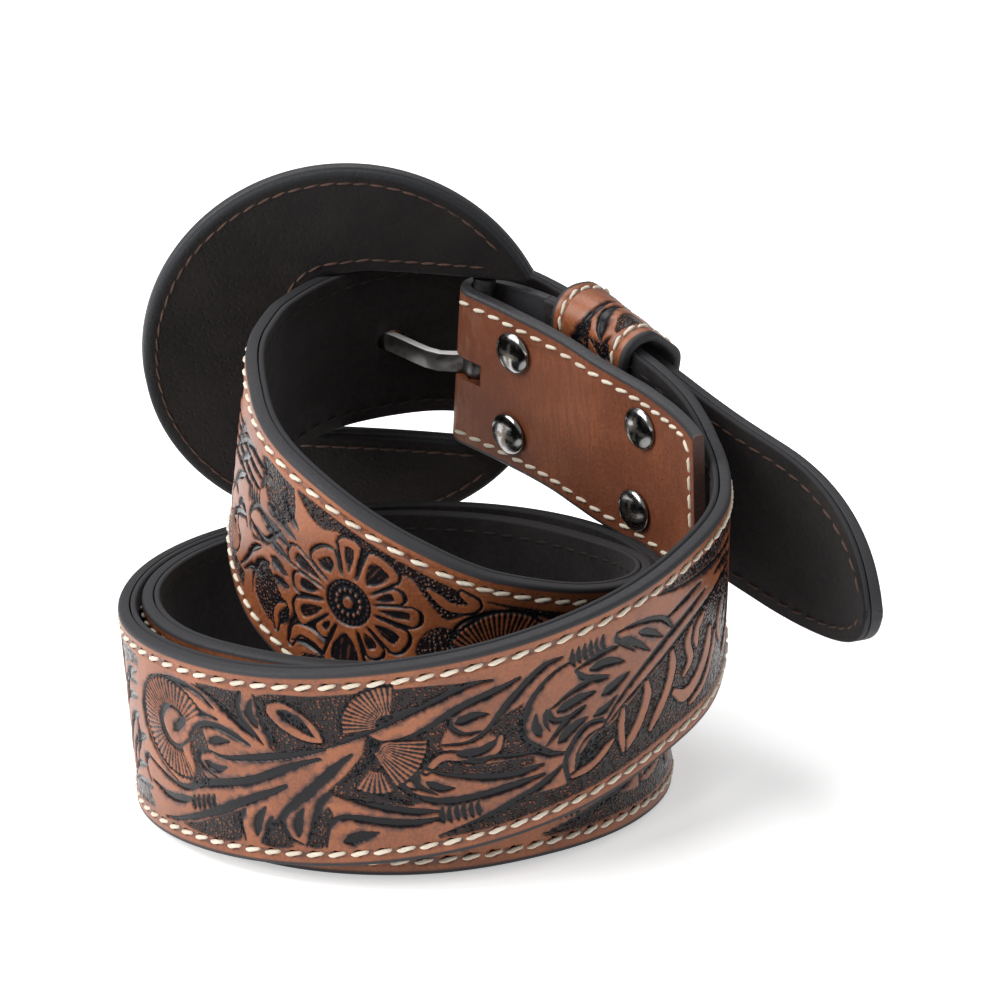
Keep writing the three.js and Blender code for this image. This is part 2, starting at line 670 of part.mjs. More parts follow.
const ringPlace = new THREE.Matrix4().makeBasis(buckleU, buckleN.clone().negate(), barAxis.side)
  .setPosition(barCentre);
const prongRing = rod(ringOuter, -PRONG_WIDTH / 2, PRONG_WIDTH / 2, RING_SIDES, ringPlace);
const prongBore = rod(ringInner, -PRONG_WIDTH, PRONG_WIDTH, RING_SIDES, ringPlace);

// The slot through the fold clears the ring on the flap's side and on the main strap's
const slotHalf = PRONG_WIDTH / 2 + PRONG_SIDE_FIT;
const slotReach = Math.sqrt(ringOuter ** 2 - ringInner ** 2) / 2 + GLUE_GAP;
const slotDepth = FOLD_RADIUS + LEATHER;
const slots = [[foldSection(0), 1], [foldSection(FOLD_WRAP), -1]].map(([section, way]) => {
  const away = section.along.clone().multiplyScalar(-way);
  const place = new THREE.Matrix4().makeBasis(away, barAxis.side, away.clone().cross(barAxis.side))
    .setPosition(barCentre);
  return block([-slotDepth, slotReach], [-slotHalf, slotHalf], [-slotDepth, slotDepth], place);
});
const holes = [];
for (let i = 0; i < HOLE_COUNT; i += 1) {
  const frame = frameAt(strap, prongHoleRun + (i - PRONG_HOLE_INDEX) * HOLE_PITCH);
  const pronged = i === PRONG_HOLE_INDEX;
  const axis = pronged ? prongDirection : frame.out;
  const depth = pronged ? STRAP : STRAP / 2 + HOLE_PAST;
  holes.push(rod(HOLE_DIAMETER, -depth, depth, HOLE_SIDES, facing(frame.point, axis, frame.side)));
}

// The screws: heads on the flap, posts flat on the main strap's tooled side

// Where a line meets the main strap's tooled face, with the strap's frame there
function onTooledFace(from, axis) {
  let best = { miss: Infinity };
  for (let run = 0; run < BILLET_END * 2; run += FINE_STEP) {
    const frame = frameAt(strap, run);
    const face = frame.point.clone().addScaledVector(frame.out, grain);
    const reach = face.clone().sub(from).dot(frame.out) / axis.dot(frame.out);
    const point = from.clone().addScaledVector(axis, reach);
    const miss = Math.abs(point.clone().sub(frame.point).dot(frame.along));
    if (miss < best.miss) best = { miss, point, frame, reach };
  }
  return best;
}

function lathe(profile, sides, matrix) {
  const geometry = new THREE.LatheGeometry(
    profile.map(([r, z]) => new THREE.Vector2(r, z)).reverse(), sides);
  geometry.rotateX(Math.PI / 2);
  return geometry.applyMatrix4(matrix);
}

const shankCuts = [];
const screwParts = [];
for (const run of SCREW_RUNS) {
  for (const across of [SCREW_SPREAD / 2, -SCREW_SPREAD / 2]) {
    const frame = frameAt(flap, run);
    const face = at(frame, across, -LEATHER / 2);
    const far = onTooledFace(face, frame.out);
    const crown = [];
    for (let i = 0; i <= DOME_STEPS; i += 1) {
      const t = i / DOME_STEPS * Math.PI / 2;
      const rise = DOME_WALL + (1 - DOME_WALL) * Math.cos(t);
      crown.push([SCREW_HEAD / 2 * Math.sin(t), SCREW_SEAT + SCREW_DOME * rise]);
    }
    const head = lathe(
      [...crown, [SCREW_HEAD / 2, SCREW_SEAT], [0, SCREW_SEAT]], HEAD_SIDES,
      facing(face, frame.out.clone().negate(), frame.along));
    const along = facing(face, frame.out, frame.side);
    const shank = rod(
      SCREW_SHANK, -SCREW_SEAT - SCREW_DOME / 2, far.reach - POST_REACH - GLUE_GAP, HOLE_SIDES, along);
    const capTop = SCREW_SEAT + POST_HEAD_THICK;
    const cap = lathe([
      [0, capTop], [POST_HEAD / 2 - POST_EASE, capTop],
      [POST_HEAD / 2, capTop - POST_EASE], [POST_HEAD / 2, SCREW_SEAT], [0, SCREW_SEAT],
    ], HEAD_SIDES, facing(far.point, far.frame.out, far.frame.along));
    const post = rod(
      SCREW_SHANK, far.reach - POST_REACH, far.reach + SCREW_SEAT + POST_HEAD_THICK / 2, HOLE_SIDES, along);
    screwParts.push([join([head, shank]), join([cap, post])]);
    shankCuts.push(rod(
      SCREW_SHANK + 2 * SCREW_FIT, -HOLE_PAST, far.reach + HOLE_PAST * 2, HOLE_SIDES, along));
  }
}

// The keeper: a band round the main strap and the tip, which lies lower behind it

function tipBehind(frame) {
  let best = { miss: Infinity };
  for (let run = tipStart - TIP_STRAIGHT; run < tipStart; run += COARSE_STEP) {
    const { point } = frameAt(strap, run);
    const away = point.clone().sub(frame.point);
    const miss = Math.abs(away.dot(frame.along));
    if (miss < best.miss) best = { miss, depth: away.dot(frame.out), drop: away.dot(frame.side) };
  }
  return best;
}

function keeperRing(run, grow) {
  const frame = frameAt(strap, run);
  const tip = tipBehind(frame);
  const near = -grain - KEEPER_FIT;
  const far = tip.depth + grain + KEEPER_SLACK;
  const radius = KEEPER_CORNER - KEEPER_WALL + grow;
  const depth = (far - near) / 2 + grow - radius;
  const height = END_WIDTH / 2 + KEEPER_RISE + grow - radius;
  const ring = [];
  // The band's floor steps down between the two straps, and its top slopes down past them.
  const add = (v, t) => {
    const share = v < 0 ? (t - grain) / (tip.depth - STRAP) : (t - grain) / (far - grain);
    ring.push(at(frame, v + tip.drop * smooth(share), t));
  };
  const edges = [grain, tip.depth / 2, tip.depth - grain];
  const corner = KEEPER_SIDES / 4;
  for (let i = 0; i < KEEPER_SIDES; i += 1) {
    const turn = (i + 0.5) / KEEPER_SIDES * 2 * Math.PI;
    const t = (near + far) / 2 + Math.sign(Math.cos(turn)) * depth + radius * Math.cos(turn);
    add(Math.sign(Math.sin(turn)) * height + radius * Math.sin(turn), t);
    if (i + 1 === corner) edges.toReversed().forEach((edge) => add(height + radius, edge));
    if (i + 1 === 3 * corner) edges.forEach((edge) => add(-height - radius, edge));
  }
  return ring;
}

const keeperRun = runAt(KEEPER_BEARING);
const keeperRuns = KEEPER_SHARES.map((share) => keeperRun + share * KEEPER_WIDTH / 2);
const keeper = loft([
  ...keeperRuns.map((run) => keeperRing(run, KEEPER_WALL)),
  ...keeperRuns.toReversed().map((run) => keeperRing(run, 0)),
], true);

// Pieces

addPart('tooled_strap', cut(leather, [...slots, ...shankCuts, ...holes]), 0x8a4a2a, 0.55, 0);
addPart('strap_lining', cut(lining, [...shankCuts, ...holes]), 0x1c1a1a, 0.9, 0);
addPart('keeper', keeper, 0x8a4a2a, 0.55, 0);
addPart('buckle_back', backLeather, 0x1f1d1d, 0.85, 0);
addPart('buckle_front', cut(frontLeather, lugs(GLUE_GAP)), 0x7a4428, 0.6, 0);
addPart('buckle_bar', join([barRod, ...lugs(0)]), 0xa8a8a6, 0.35, 1);
addPart('prong', cut(join([prongRing, blade]), [prongBore]), 0xb8b8b6, 0.3, 1);
screwParts.forEach(([screw, post], i) => {
  addPart(`screw_${i + 1}`, screw, 0x9a9a98, 0.25, 1);
  addPart(`screw_post_${i + 1}`, post, 0x9a9a98, 0.3, 1);
});

// The origin lies under the middle of the belt's bounding box
const bounds = new THREE.Box3().setFromObject(group);
const middle = bounds.getCenter(new THREE.Vector3());
group.children.forEach((mesh) => mesh.geometry.translate(-middle.x, -middle.y, -bounds.min.z));

export default group;
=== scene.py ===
"""Looks of a coiled, buckled Western belt, the buckle seen from its back.

Sizes in tables and fields are millimetres in the coil's own frame, whose axis is the line
x = y = 0. Meshes are made in metres in the row frame. A run is a distance along the strap.
"""

import json
import logging
import math
from dataclasses import astuple, dataclass, field, replace
from enum import Enum
from typing import Callable, Iterable, Sequence

import bpy
import numpy as np
from bpy.types import Material, Object
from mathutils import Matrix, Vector

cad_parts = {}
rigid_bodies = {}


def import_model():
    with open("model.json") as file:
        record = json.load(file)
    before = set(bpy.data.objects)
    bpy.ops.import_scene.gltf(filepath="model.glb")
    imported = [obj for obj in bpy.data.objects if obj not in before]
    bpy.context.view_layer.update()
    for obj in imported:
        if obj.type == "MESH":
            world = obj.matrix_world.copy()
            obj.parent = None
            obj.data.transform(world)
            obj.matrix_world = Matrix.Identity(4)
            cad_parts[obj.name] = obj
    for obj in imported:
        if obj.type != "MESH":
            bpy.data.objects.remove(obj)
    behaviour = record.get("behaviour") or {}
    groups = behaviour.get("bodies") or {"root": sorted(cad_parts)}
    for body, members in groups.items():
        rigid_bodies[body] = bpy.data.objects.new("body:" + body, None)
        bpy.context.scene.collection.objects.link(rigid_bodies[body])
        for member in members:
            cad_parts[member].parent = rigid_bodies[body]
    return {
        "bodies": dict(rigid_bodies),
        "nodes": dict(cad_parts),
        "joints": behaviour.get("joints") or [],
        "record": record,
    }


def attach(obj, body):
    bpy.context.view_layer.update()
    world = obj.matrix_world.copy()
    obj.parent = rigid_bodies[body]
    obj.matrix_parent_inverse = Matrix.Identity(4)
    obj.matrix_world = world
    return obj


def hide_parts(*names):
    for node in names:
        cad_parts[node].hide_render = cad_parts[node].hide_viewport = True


LOG = logging.getLogger("belt")
Array = np.ndarray
Part = tuple[slice, slice]
Places = tuple[Array, Array, Array]
Socket = bpy.types.NodeSocket
MM = 0.001
COIL_AXIS = np.array((-14.82253, -9.64620, 0.0))
UP = np.array((0.0, 0.0, 1.0))
COPY_SEED = 7

# Columns: bearing, reach, layers, lift, lean
ROUTE = (
    (63, 1.105, 0, 0.87, -7), (45, 1.025, 0, 0.8, -6), (27, 1.025, 0, 0.685, -4),
    (9, 1.015, 0, 0.525, -0.5), (-10, 0.99, 0, 0.395, 4), (-35, 0.935, 0, 0.305, 8.7),
    (-60, 0.923, 0, 0.22, 9.5), (-90, 0.945, 0, 0.135, 10.2), (-120, 0.985, 0, 0.075, 10.5),
    (-150, 0.94, 1, 0.04, 7), (-180, 0.935, 1, 0.01, 2.5), (-210, 0.928, 1, 0, 0.5),
    (-245, 0.888, 1, 0, 0), (-280, 0.86, 1, 0, 0), (-315, 0.89, 0, 0, -0.5),
    (-350, 0.828, 0, 0, 0.2), (-385, 0.765, 0, 0.01, 1.2), (-420, 0.73, 0, 0.014, 1.6),
    (-455, 0.755, 0, 0.008, 0), (-490, 0.833, 0, 0.01, 0), (-515, 0.896, 0, 0.008, 3),
    (-540, 0.935, 0, 0.006, 2.5), (-570, 0.928, 0, 0.004, 0.5), (-605, 0.886, 0, 0, -0.5),
    (-640, 0.828, 0, 0, -2.3), (-680, 0.775, 0, 0.008, -1.6), (-715, 0.733, 0, 0.062, 2.2),
    (-750, 0.667, 0, 0.14, 3.8), (-785, 0.607, 0, 0.262, 6.5), (-815, 0.563, 0, 0.42, 7),
    (-845, 0.538, 0, 0.555, 5), (-875, 0.553, 0, 0.655, -0.5), (-905, 0.603, 0, 0.747, -5),
    (-925, 0.692, 0, 0.81, -7), (-943, 0.825, 0, 0.86, -8.5), (-958, 1.01, 0, 0.913, -9.5),
    (-969, 1.145, 0, 0.952, -10), (-980, 1.235, 0, 0.972, -10), (-993, 1.2, 1.2, 0.982, -9.5),
    (-1003, 1.187, 1.3, 0.955, -8.5), (-1017, 1.105, 1.45, 0.872, -7),
    (-1035, 1.025, 1.55, 0.737, -5.5), (-1057, 1.095, 1.75, 0.565, -4.5),
    (-1089, 1.38, 2.2, 0.41, -3),
)

# Columns: bearing, gap, lift, lean
FLAP_ROUTE = (
    (70, 0.9, 0.863, -6.5), (58, 0.93, 0.824, -6.3), (45, 0.74, 0.771, -6),
    (33, 0.56, 0.723, -5.5), (20, 0.34, 0.681, -4.5), (5, 0.06, 0.65, -3),
)

# The tooled pattern, read off. Outlines are pairs of a run and a place across.
# Strokes are a width, then such pairs from the thick end to the thin one.
LEAF_GROUND = (
    (92,13.6, 104,15, 112,14.4, 122,15.6, 132,18, 114,18, 92,17.8),
    (92,2, 104,5.6, 112,5.8, 120,4.2, 128,2.2, 138,-1.2, 147,-5.5, 152,-6, 158,-14, 166,-13.8, 176,-16,
     186,-17.9, 160,-18, 130,-17, 92,-16),
    (166,8, 170,6.5, 173.5,3.2, 171,1.5, 170.5,-0.6, 173,-2.2, 167,-3.2, 161,-6, 164.5,-3.5, 166.5,1),
    (172,15.4, 178,15.4, 186,12.8, 197,8.4, 204,5.8, 210,4.6, 216,4.4, 216.5,10, 217,16.6, 205,17.2,
     186,17.3),
    (180,8.6, 186,6.6, 193,5.4, 196.6,7.2, 198,3.6, 202,-1, 206,-5, 196,-8.4, 188,-9, 192.5,-4, 187.5,-1.5,
     182,-3.6, 178,-4.5, 181,0.5, 183,3), (165,-4.9, 172,-3.7, 180,-2.8, 176,-5.3, 170,-6.7, 165,-6.4),
    (220.5,17.2, 231.5,17, 227,13.6, 222.6,10.6, 222.6,14),
    (232,7, 236,4, 237,1, 236.5,-3, 238,-7, 233,-5.4, 235,-2, 234.5,0.8, 231.5,2.2),
    (226.5,-10.5, 232,-12.8, 238,-15.4, 244,-17.4, 228,-17.7),
    (206.5,-8, 210,-11.5, 212.5,-17.4, 208.8,-17.4, 208,-13, 205.8,-10.4),
    (216.5,-13, 218.4,-11.8, 222.4,-17.6, 215.5,-17.6),
    (252,15, 262,13, 269,8, 274,14, 290,16, 290,17.4, 252,17.2),
    (258,-13.5, 268,-14, 274,-8, 280,-12, 290,-13, 290,-17.4, 256,-17.2),
)
# Brown ribbons over the ground
LEAF_RIBBONS = (
    (3, 113.5,-1.5, 115,-6, 119,-10, 124,-11.6, 128,-8.6),
    (1.8, 110.5,-4, 112.5,-9, 116.5,-13.4, 122,-14.8), (1.6, 106.5,1, 108.5,-4, 107,-8.5),
    (2, 121.5,4, 123,0.5, 122,-4, 124.5,-6.4), (2, 116.5,4, 119.5,1.6, 119.6,-2),
    (2.4, 128.6,2, 128.6,-2.5, 131,-7.5, 136,-13), (2.4, 136.8,-0.8, 136.8,-4.6, 139.6,-9.6, 144,-14),
    (1.7, 143.6,-3.8, 144.4,-8, 144.2,-13.6), (2, 95,2, 96,-4, 100,-10, 104,-13),
    (1.7, 149,-4.6, 153,-4.4, 156.6,-8, 157.4,-13.2), (1.7, 157.2,-13.4, 152,-12.6, 146.8,-9.6),
    (1.5, 171.2,2, 172.4,-0.6, 176,-1.8, 181.6,0.8),
    (1.9, 205.6,7, 206.6,9.8, 209.2,12.6, 212.2,14.6, 214.4,14, 213.2,11.6, 210.8,9.4, 208,7.6, 205.6,7),
    (1.6, 178.5,-1, 183,0.4, 186.5,-2.2), (1.2, 188.6,-2.4, 190.6,-3.6, 189,-5.4),
)
# Shell fans. Columns: run and place of the centre, inner and outer radius, angles, ribs
LEAF_FANS = (
    (192.0, 9.3, 2.6, 8.6, -6, 104, 15), (196.6, 6.0, 2.6, 11.0, 184, 250, 11),
    (195.6, 1.4, 2.2, 7.0, 252, 312, 6), (241.0, 4.8, 5.2, 10.4, -112, 150, 38),
    (273.0, 6.0, 3.0, 9.0, -40, 120, 18),
)
# Rows of bars. Columns: first middle, last middle, half a bar, number of bars
LEAF_BARS = (
    ((147.6, 14.3), (154.6, 14.1), (0.1, 2.0), 6), ((177.4, -12.9), (184.6, -12.7), (-0.1, 1.9), 6),
    ((232.7, -9.7), (238.8, -11.2), (-0.4, 1.7), 5), ((277.0, -5.0), (283.0, -7.0), (0.5, 1.8), 5),
)
LEAF_CUTS = (
    (1.2, 92,10, 101,12.6, 110,13.2, 118,14.2, 125,15.6, 133,18), (1, 118,12.2, 124,11.6, 131,10.6),
    (1.3, 116,9.4, 128,6.8, 133,5.1, 137,3.4, 141,1.3, 145,-1.3, 149.5,-5.6),
    (1.3, 96,5, 107,7, 113,6.2, 120,5.2, 128,3, 139,-0.8, 144,-2.9, 148,-5.4),
    (1.2, 128,7, 129.6,9.6, 132,11.8, 136,13.6, 141,14.8, 144.2,15),
    (1, 144.2,15, 144.6,13.6, 142.6,11.4, 140,8.6), (1.7, 138.4,12.2, 134.6,9.8, 131.6,7.2),
    (1.7, 142.8,12.8, 138.8,9.4, 135.6,6.2), (1.2, 144.4,11.8, 148.6,12, 154.6,10.9),
    (1.1, 154.4,10.7, 152.4,8.2, 146.6,6), (2.3, 151,9.6, 147,9.4, 142.8,7.4),
    (1.2, 147,5.6, 150.6,6.8, 155,6.4, 160.8,4.2), (1.1, 160.8,4.2, 160.4,1.6, 157,0.6, 153,1.6),
    (2.5, 159,3.2, 155,3.9, 150.4,4), (1.2, 153,1.8, 157,0.2, 160,-1.9, 162.8,-4.4),
    (2.6, 159.4,-4, 156,-2, 152.6,-1.2), (1.2, 149,-3.2, 153.4,-3.2, 157,-6.4, 158.6,-10, 158.4,-15),
    (3.2, 156,-11.4, 152,-8.6, 147.4,-6.4), (2.4, 148.6,2.4, 145.2,3.2, 141.6,4.2),
    (1.8, 151,-1.6, 148,-1.2, 145.2,0.4),
    (1.6, 158,-7.2, 161,-6.3, 163.6,-4.2, 166.4,-0.8, 166.8,2.6, 165.2,6.4, 162.4,9.9, 159,12.4, 155,13.4),
    (1.8, 163.2,-1, 164,1.4, 163.7,4.4), (1, 161.4,4.4, 161.9,1.8, 161.2,-0.6),
    (1.5, 157,15.2, 161,14.7, 165,12.2, 169,8.9, 172.4,5.4, 175,3.3, 178,2.5, 183,3.2),
    (1.7, 166,14, 170,12.8, 175,11.7, 180,10, 185,7.4, 190,5.8, 194,5.9, 196,7.4),
    (2, 179.4,7.4, 176,8.2, 173,7.8), (1, 180.4,9.6, 180.6,7, 178.4,4.6, 174.8,4.4),
    (2.2, 180,0.4, 176,-0.2, 172.6,1.4),
    (1.8, 163.4,-7.7, 169,-7.7, 175,-6.4, 180,-4.8, 184,-3.2, 187.2,-0.8),
    (1.8, 163.4,-10, 170,-10.2, 177,-10.3, 184,-9.8, 189,-7.7, 192,-4.6, 195,0.4),
    (1.1, 160,-6.8, 163,-4.6, 168,-3.6, 172,-2.6, 176,-2, 181,-1.6),
    (1.7, 159,-9.6, 164,-12.2, 170,-13.9, 176,-15.5, 181,-16.5, 186,-17.4),
    (1.6, 171.5,15.2, 175,15.4, 178,15, 184,13, 190,10.8, 196,8.4, 202,6.2, 206,4.9),
    (2, 205,5.1, 212,3.7, 218,2.6, 224,1.6, 228,1.2, 231.4,2),
    (1.6, 196.2,7.6, 195.6,5, 196.4,2, 199.6,-0.6, 203.4,-3), (1.8, 186.6,-4.8, 184.4,-6.6, 181.6,-7.2),
    (1.1, 187.8,-2.2, 188.6,-5, 185,-8),
    (2.1, 200,3.5, 204,0.4, 207,-2.2, 210.4,-5.2, 214,-8, 217.6,-11.6, 222.4,-17.4),
    (2, 206.4,2.8, 211,1.5, 216,-0.6, 221,-2.7, 226,-4.2, 231,-5.2, 237,-6.9, 240,-8.3, 244,-8.5, 249,-7.1,
     254.4,-5.2),
    (1.9, 214.4,-3.5, 218,-5.3, 222,-7, 226,-8.8, 231,-11.2, 236,-13.3, 241,-15.2, 246,-16.8, 251,-17.7),
    (1.5, 205,-4.4, 208,-7.4, 209.8,-11, 211.4,-14.6, 212.8,-17.4), (2.1, 214,-15, 213.6,-11.8, 211.8,-8.6),
    (1.1, 215.4,-8.8, 217,-12, 216,-15.6, 213.4,-17), (2, 223.4,-15.6, 222.6,-12.4, 220,-8.8),
    (1.1, 219,-11, 221,-14.6, 222.8,-17.6), (1.3, 225,-10, 227,-13, 226.4,-17.2),
    (1.7, 185.4,-11.8, 190,-11, 196,-9, 201,-7, 205,-5.4),
    (1.8, 185.4,-13.5, 190,-13.6, 196,-12.6, 201,-11.2, 205,-10.9, 207.2,-12.8, 208.6,-17.4),
    (0.9, 190,-9.4, 194,-7.2, 198,-5, 200.4,-2.6), (2.6, 204.6,-16.4, 201,-15.4, 197.6,-14.8),
    (2.6, 212.6,13.4, 209.8,11.6, 207.4,9.4), (1.4, 214.4,5, 216,8.2, 217,12, 217.5,17),
    (2, 218.2,9.4, 219.4,12.6, 218.2,15.8), (1.4, 220.4,17.2, 221.9,14.2, 221.6,11.4, 219.6,8.6, 217.6,5.6),
    (1.4, 219.4,7.2, 222.4,10.1, 226,13.1, 229.4,15.2, 232.6,16.6),
    (1.3, 228,12, 231,14.6, 235,15.8, 240,15.8, 244.6,14.4, 248.8,11.9, 251.4,9, 253,5, 252.6,1, 250.8,-2.4,
     247.2,-5.6, 243,-7.6),
    (1.3, 227.6,9.8, 232,10.4, 236,11, 240,10.6, 243.2,8.8, 245,6, 244.5,3, 242.5,1, 239.5,1.2, 236.4,3.8),
    (1.9, 241.2,4.2, 238.4,6.6, 235.4,9.2), (1.6, 220.8,5, 224,6.8, 228,8.1, 232,7.6, 235,5.6, 237.4,2.4),
    (1.9, 231,3.8, 228.6,4.9, 225.4,5.2), (2, 233,-0.8, 230.4,-1.9, 227.4,-0.9),
    (1, 230.6,1.9, 233.6,1.5, 234.9,-0.5, 233,-3, 229.4,-4.4),
    (1.8, 239.6,-10.7, 244,-11.8, 249,-12, 254.6,-10.6), (1.2, 254.4,-5, 257,-6.6, 257.2,-9, 255.6,-11.4),
    (1.6, 254,13.4, 260,11.4, 266,6.4, 270,0), (1.6, 257,3, 263,0.4, 268,-5, 272,-11.6),
    (1.3, 262,-3.4, 266,-8, 268,-13.6), (2.2, 262,9, 265.6,6, 267.4,2),
    (1.4, 255.6,-12.6, 264,-13.6, 273,-16.4), (1.7, 274,-3, 281,-8, 286,-15),
    (1.6, 272,-1, 280,0, 290,-4.6), (2.2, 262,-6, 259.4,-2, 258.8,2), (1.5, 281,12, 286,7, 290,0),
    (2.2, 98,3, 100.6,-2, 105,-6), (2, 100,9, 106,10.4, 112,10.6), (1.1, 92,7.6, 98,8, 105,7.4),
    (1.2, 92,-2, 95.4,-6, 100,-14.4), (1.2, 255,10.4, 262,9.6, 270,6, 277,2),
    (1.2, 256,7, 262.6,5.6, 268.6,2.4, 272,-2), (1.5, 276,14.4, 282,10, 288,4),
    (1.2, 268,12.6, 274,9, 280,3), (1.2, 258,-8.6, 264,-10, 271,-14.6), (1.4, 254.6,-1, 260,-3.6, 263.4,-9),
    (1.3, 270,-3, 275,-7, 278,-13.4), (1.3, 284,-3, 288,-8, 290,-13),
)
FLOWER_GROUND = (
    (836,17.3, 868,17.3, 865,14.4, 861,13.4, 857,15.4, 848,13, 842,15, 838,12.6, 832,10, 828,16),
    (868.8,16.8, 880,16.8, 879.6,13, 877,9.6, 873,6.4, 869.4,7.4, 867.4,11),
    (863,-9.6, 868,-7.4, 872.6,-4.8, 875.6,-8, 875.4,-13.6, 868,-16, 864,-14),
    (795,-8, 806,-12, 820,-14.8, 834,-14.4, 842,-10, 849,-12, 856,-16.8, 795,-17.4),
    (795,17.2, 812,17, 826,16.8, 814,15.6, 806,14.6, 795,16), (904,17, 915,17, 915,5, 910,7, 905,12),
    (882,-14, 890,-15, 902,-12, 915,-14, 915,-17.4, 882,-17.4),
    (829,9, 834,7, 835,1, 830,-3, 824,-2, 826,4),
)
FLOWER_RIBBONS = (
    (2, 832,16.6, 828,15, 832.6,13, 838,14.4), (2.2, 850,-11.4, 855,-10.8, 859.4,-12.4, 860,-16),
    (1.6, 864.6,-9.6, 866.6,-12.4, 865.4,-16), (2.2, 799,-9, 806,-13, 814,-14.4),
    (2, 823,-6, 826.4,-11, 833,-15.6), (2, 905,13, 909,9.4, 914,8),
)
FLOWER_FANS = ((818.0, 4.0, 4.6, 11.2, 8, 126, 19), (896.0, -8.0, 2.6, 8.0, 200, 330, 12))
FLOWER_BARS = (((879.4, 5.6), (885.2, 4.4), (0.4, 2.0), 5), ((800.0, -3.0), (806.0, -5.0), (0.6, 1.8), 5))
FLOWER_CUTS = (
    (1.2, 812,16, 818,15.6, 824,14.2, 828.6,11.4, 830.2,7.4, 829.6,4.4),
    (1.4, 870.4,4.8, 872.4,2, 874.4,-0.4, 878,-1, 884,-0.8),
    (1.4, 872,-4.4, 876,-7, 877.6,-11, 876.6,-15.4), (1.2, 876,-3, 879.6,-6, 882,-10, 886,-14.4),
    (1.5, 849.4,-9.4, 854,-9, 858,-8.7, 860.8,-10, 861.8,-13, 861,-16.6),
    (1.2, 850.6,-13, 856,-13.4, 860,-15.6), (2.4, 863.4,-10.4, 864.6,-14.6),
    (1.3, 879.8,9, 878.8,12, 880.6,16), (1.6, 884,14.6, 890,12.6, 897,8.8, 904,3, 909,-4.6),
    (1.5, 886,-2.6, 893,-6, 899,-11, 902,-16.4), (1.7, 891,4, 898,-0.6, 903.6,-8),
    (2.4, 894,13, 899,10.4, 903,6), (2.2, 889,9.6, 893.6,7, 897.6,3), (2, 888,-9.6, 891.6,-13),
    (1.8, 906,-3, 911,-8, 914,-14), (1.6, 795,10.4, 803,7.2, 810.6,2, 815,-5),
    (1.4, 797,15, 806,13, 812,9.4), (2.2, 799,4, 803.6,0, 805.6,-4.6), (2.2, 811.6,-1, 817.6,-5, 820.6,-10),
    (1.6, 822,2, 829,-3, 833,-8.6, 834.6,-14.6), (1.4, 818,1, 825,-7, 828,-13.4),
    (1.2, 796,-7, 805,-10, 817,-13), (1.1, 876,14, 888,13.4, 900,11, 914,7.6),
    (1.2, 878,11, 890,10.6, 902,8, 915,3.6), (1.3, 880,8.2, 892,7.4, 903,5, 915,0.4),
    (1.1, 884,5.8, 894,4.4, 904,1.6, 914,-3),
    (1.3, 871.6,1.6, 876,4.2, 881.4,3.4, 883.6,-0.4, 880.6,-3.2, 877,-2),
    (1.3, 884,-3.4, 889,-1.6, 893,-4, 892,-8, 888,-9), (1.2, 895,-3, 900,-3.6, 903.6,-8, 901,-12.4),
    (1.2, 873.6,-8.6, 879,-10, 883,-13.6), (1.2, 904,-6, 908.6,-9, 909.6,-14),
    (1.1, 893,-12, 897,-14.6, 903,-15.8), (1.2, 866,9, 870,11.6, 871,15.6),
    (2.6, 877,3.6, 871.6,3.9, 866.6,3.6), (2.3, 875.6,7.8, 871,7.2, 865.8,6.2),
    (1.8, 873,0.6, 869,0.8, 866,0.5), (2.2, 871.6,-2.6, 868.6,-2.9, 865.8,-2.8),
    (1.8, 869.6,-6, 867,-5.6, 864.6,-5),
)

# The keeper's pattern, by places round the band and offsets along the belt
KEEPER_GROUNDS = (
    (16.1,-0.7, 19.5,-2.7, 21.8,-3.7, 25,-3.6, 24.4,1.8, 21.2,1.2, 17.2,1),
    (8.6,3.5, 12,3.9, 14.4,5.5, 16.2,6.8, 14.9,7.3, 12.4,7.4, 8.6,7.2),
    (19.5,0.7, 20.6,2, 21.4,3.2, 22.6,5.4, 21.4,7.2, 18.3,6.8, 19.2,4.4),
    (29,-7.2, 35,-7.4, 37,-4, 34,2.2, 30.5,0.2, 28.5,-3),
)
KEEPER_CUTS = (
    (1.5, 25,-4.9, 20.9,-2.9, 17.6,-1.2, 14.9,-0.6, 11.4,-0.9, 8.4,-1.7),
    (2.2, 18.4,4.3, 15.8,2.9, 13.6,1.8, 11.2,1.2, 8.6,0.9), (1.2, 21.5,7.4, 19.6,5.6, 17,6.2),
    (1.5, 34,4.6, 29.6,1.8, 27,2.2, 25.4,4.8), (1.2, 35,-3, 31.5,-3.6, 28,-2.4),
    (1.2, 37,0.5, 33,-0.8, 29.4,-0.8),
)

# The strap's stretches. Columns: name, first run, last run, section step, points across
STRETCHES = (
    ("tooled_start", 15, 92, 0.6, 64), ("tooled_front_right", 92, 191, 0.26, 176),
    ("tooled_front_left", 191, 290, 0.26, 176), ("tooled_back", 290, 430, 0.7, 64),
    ("tooled_under", 430, 560, 0.45, 92), ("tooled_inner", 560, 795, 0.7, 64),
    ("tooled_flower", 795, 915, 0.26, 176), ("tooled_tip", 915, 1200, 0.6, 64),
)


class Slot(Enum):
    """The record's material slots."""

    TOOLED = "tooled_leather"
    LINING = "black_lining"
    BLACK = "black_leather"
    STEEL = "plated_steel"
    SCREW = "polished_screw"


# Vectors and curves


def unit(vectors: Array) -> Array:
    """The vectors at length one."""
    return vectors / np.linalg.norm(vectors, axis=-1, keepdims=True)


def dot(a: Array, b: Array) -> Array:
    """Dot products along the last axis, which is kept."""
    return np.sum(a * b, axis=-1, keepdims=True)


def smooth(t: Array) -> Array:
    """A soft step from 0 to 1."""
    c = np.clip(t, 0.0, 1.0)
    return c * c * (3.0 - 2.0 * c)


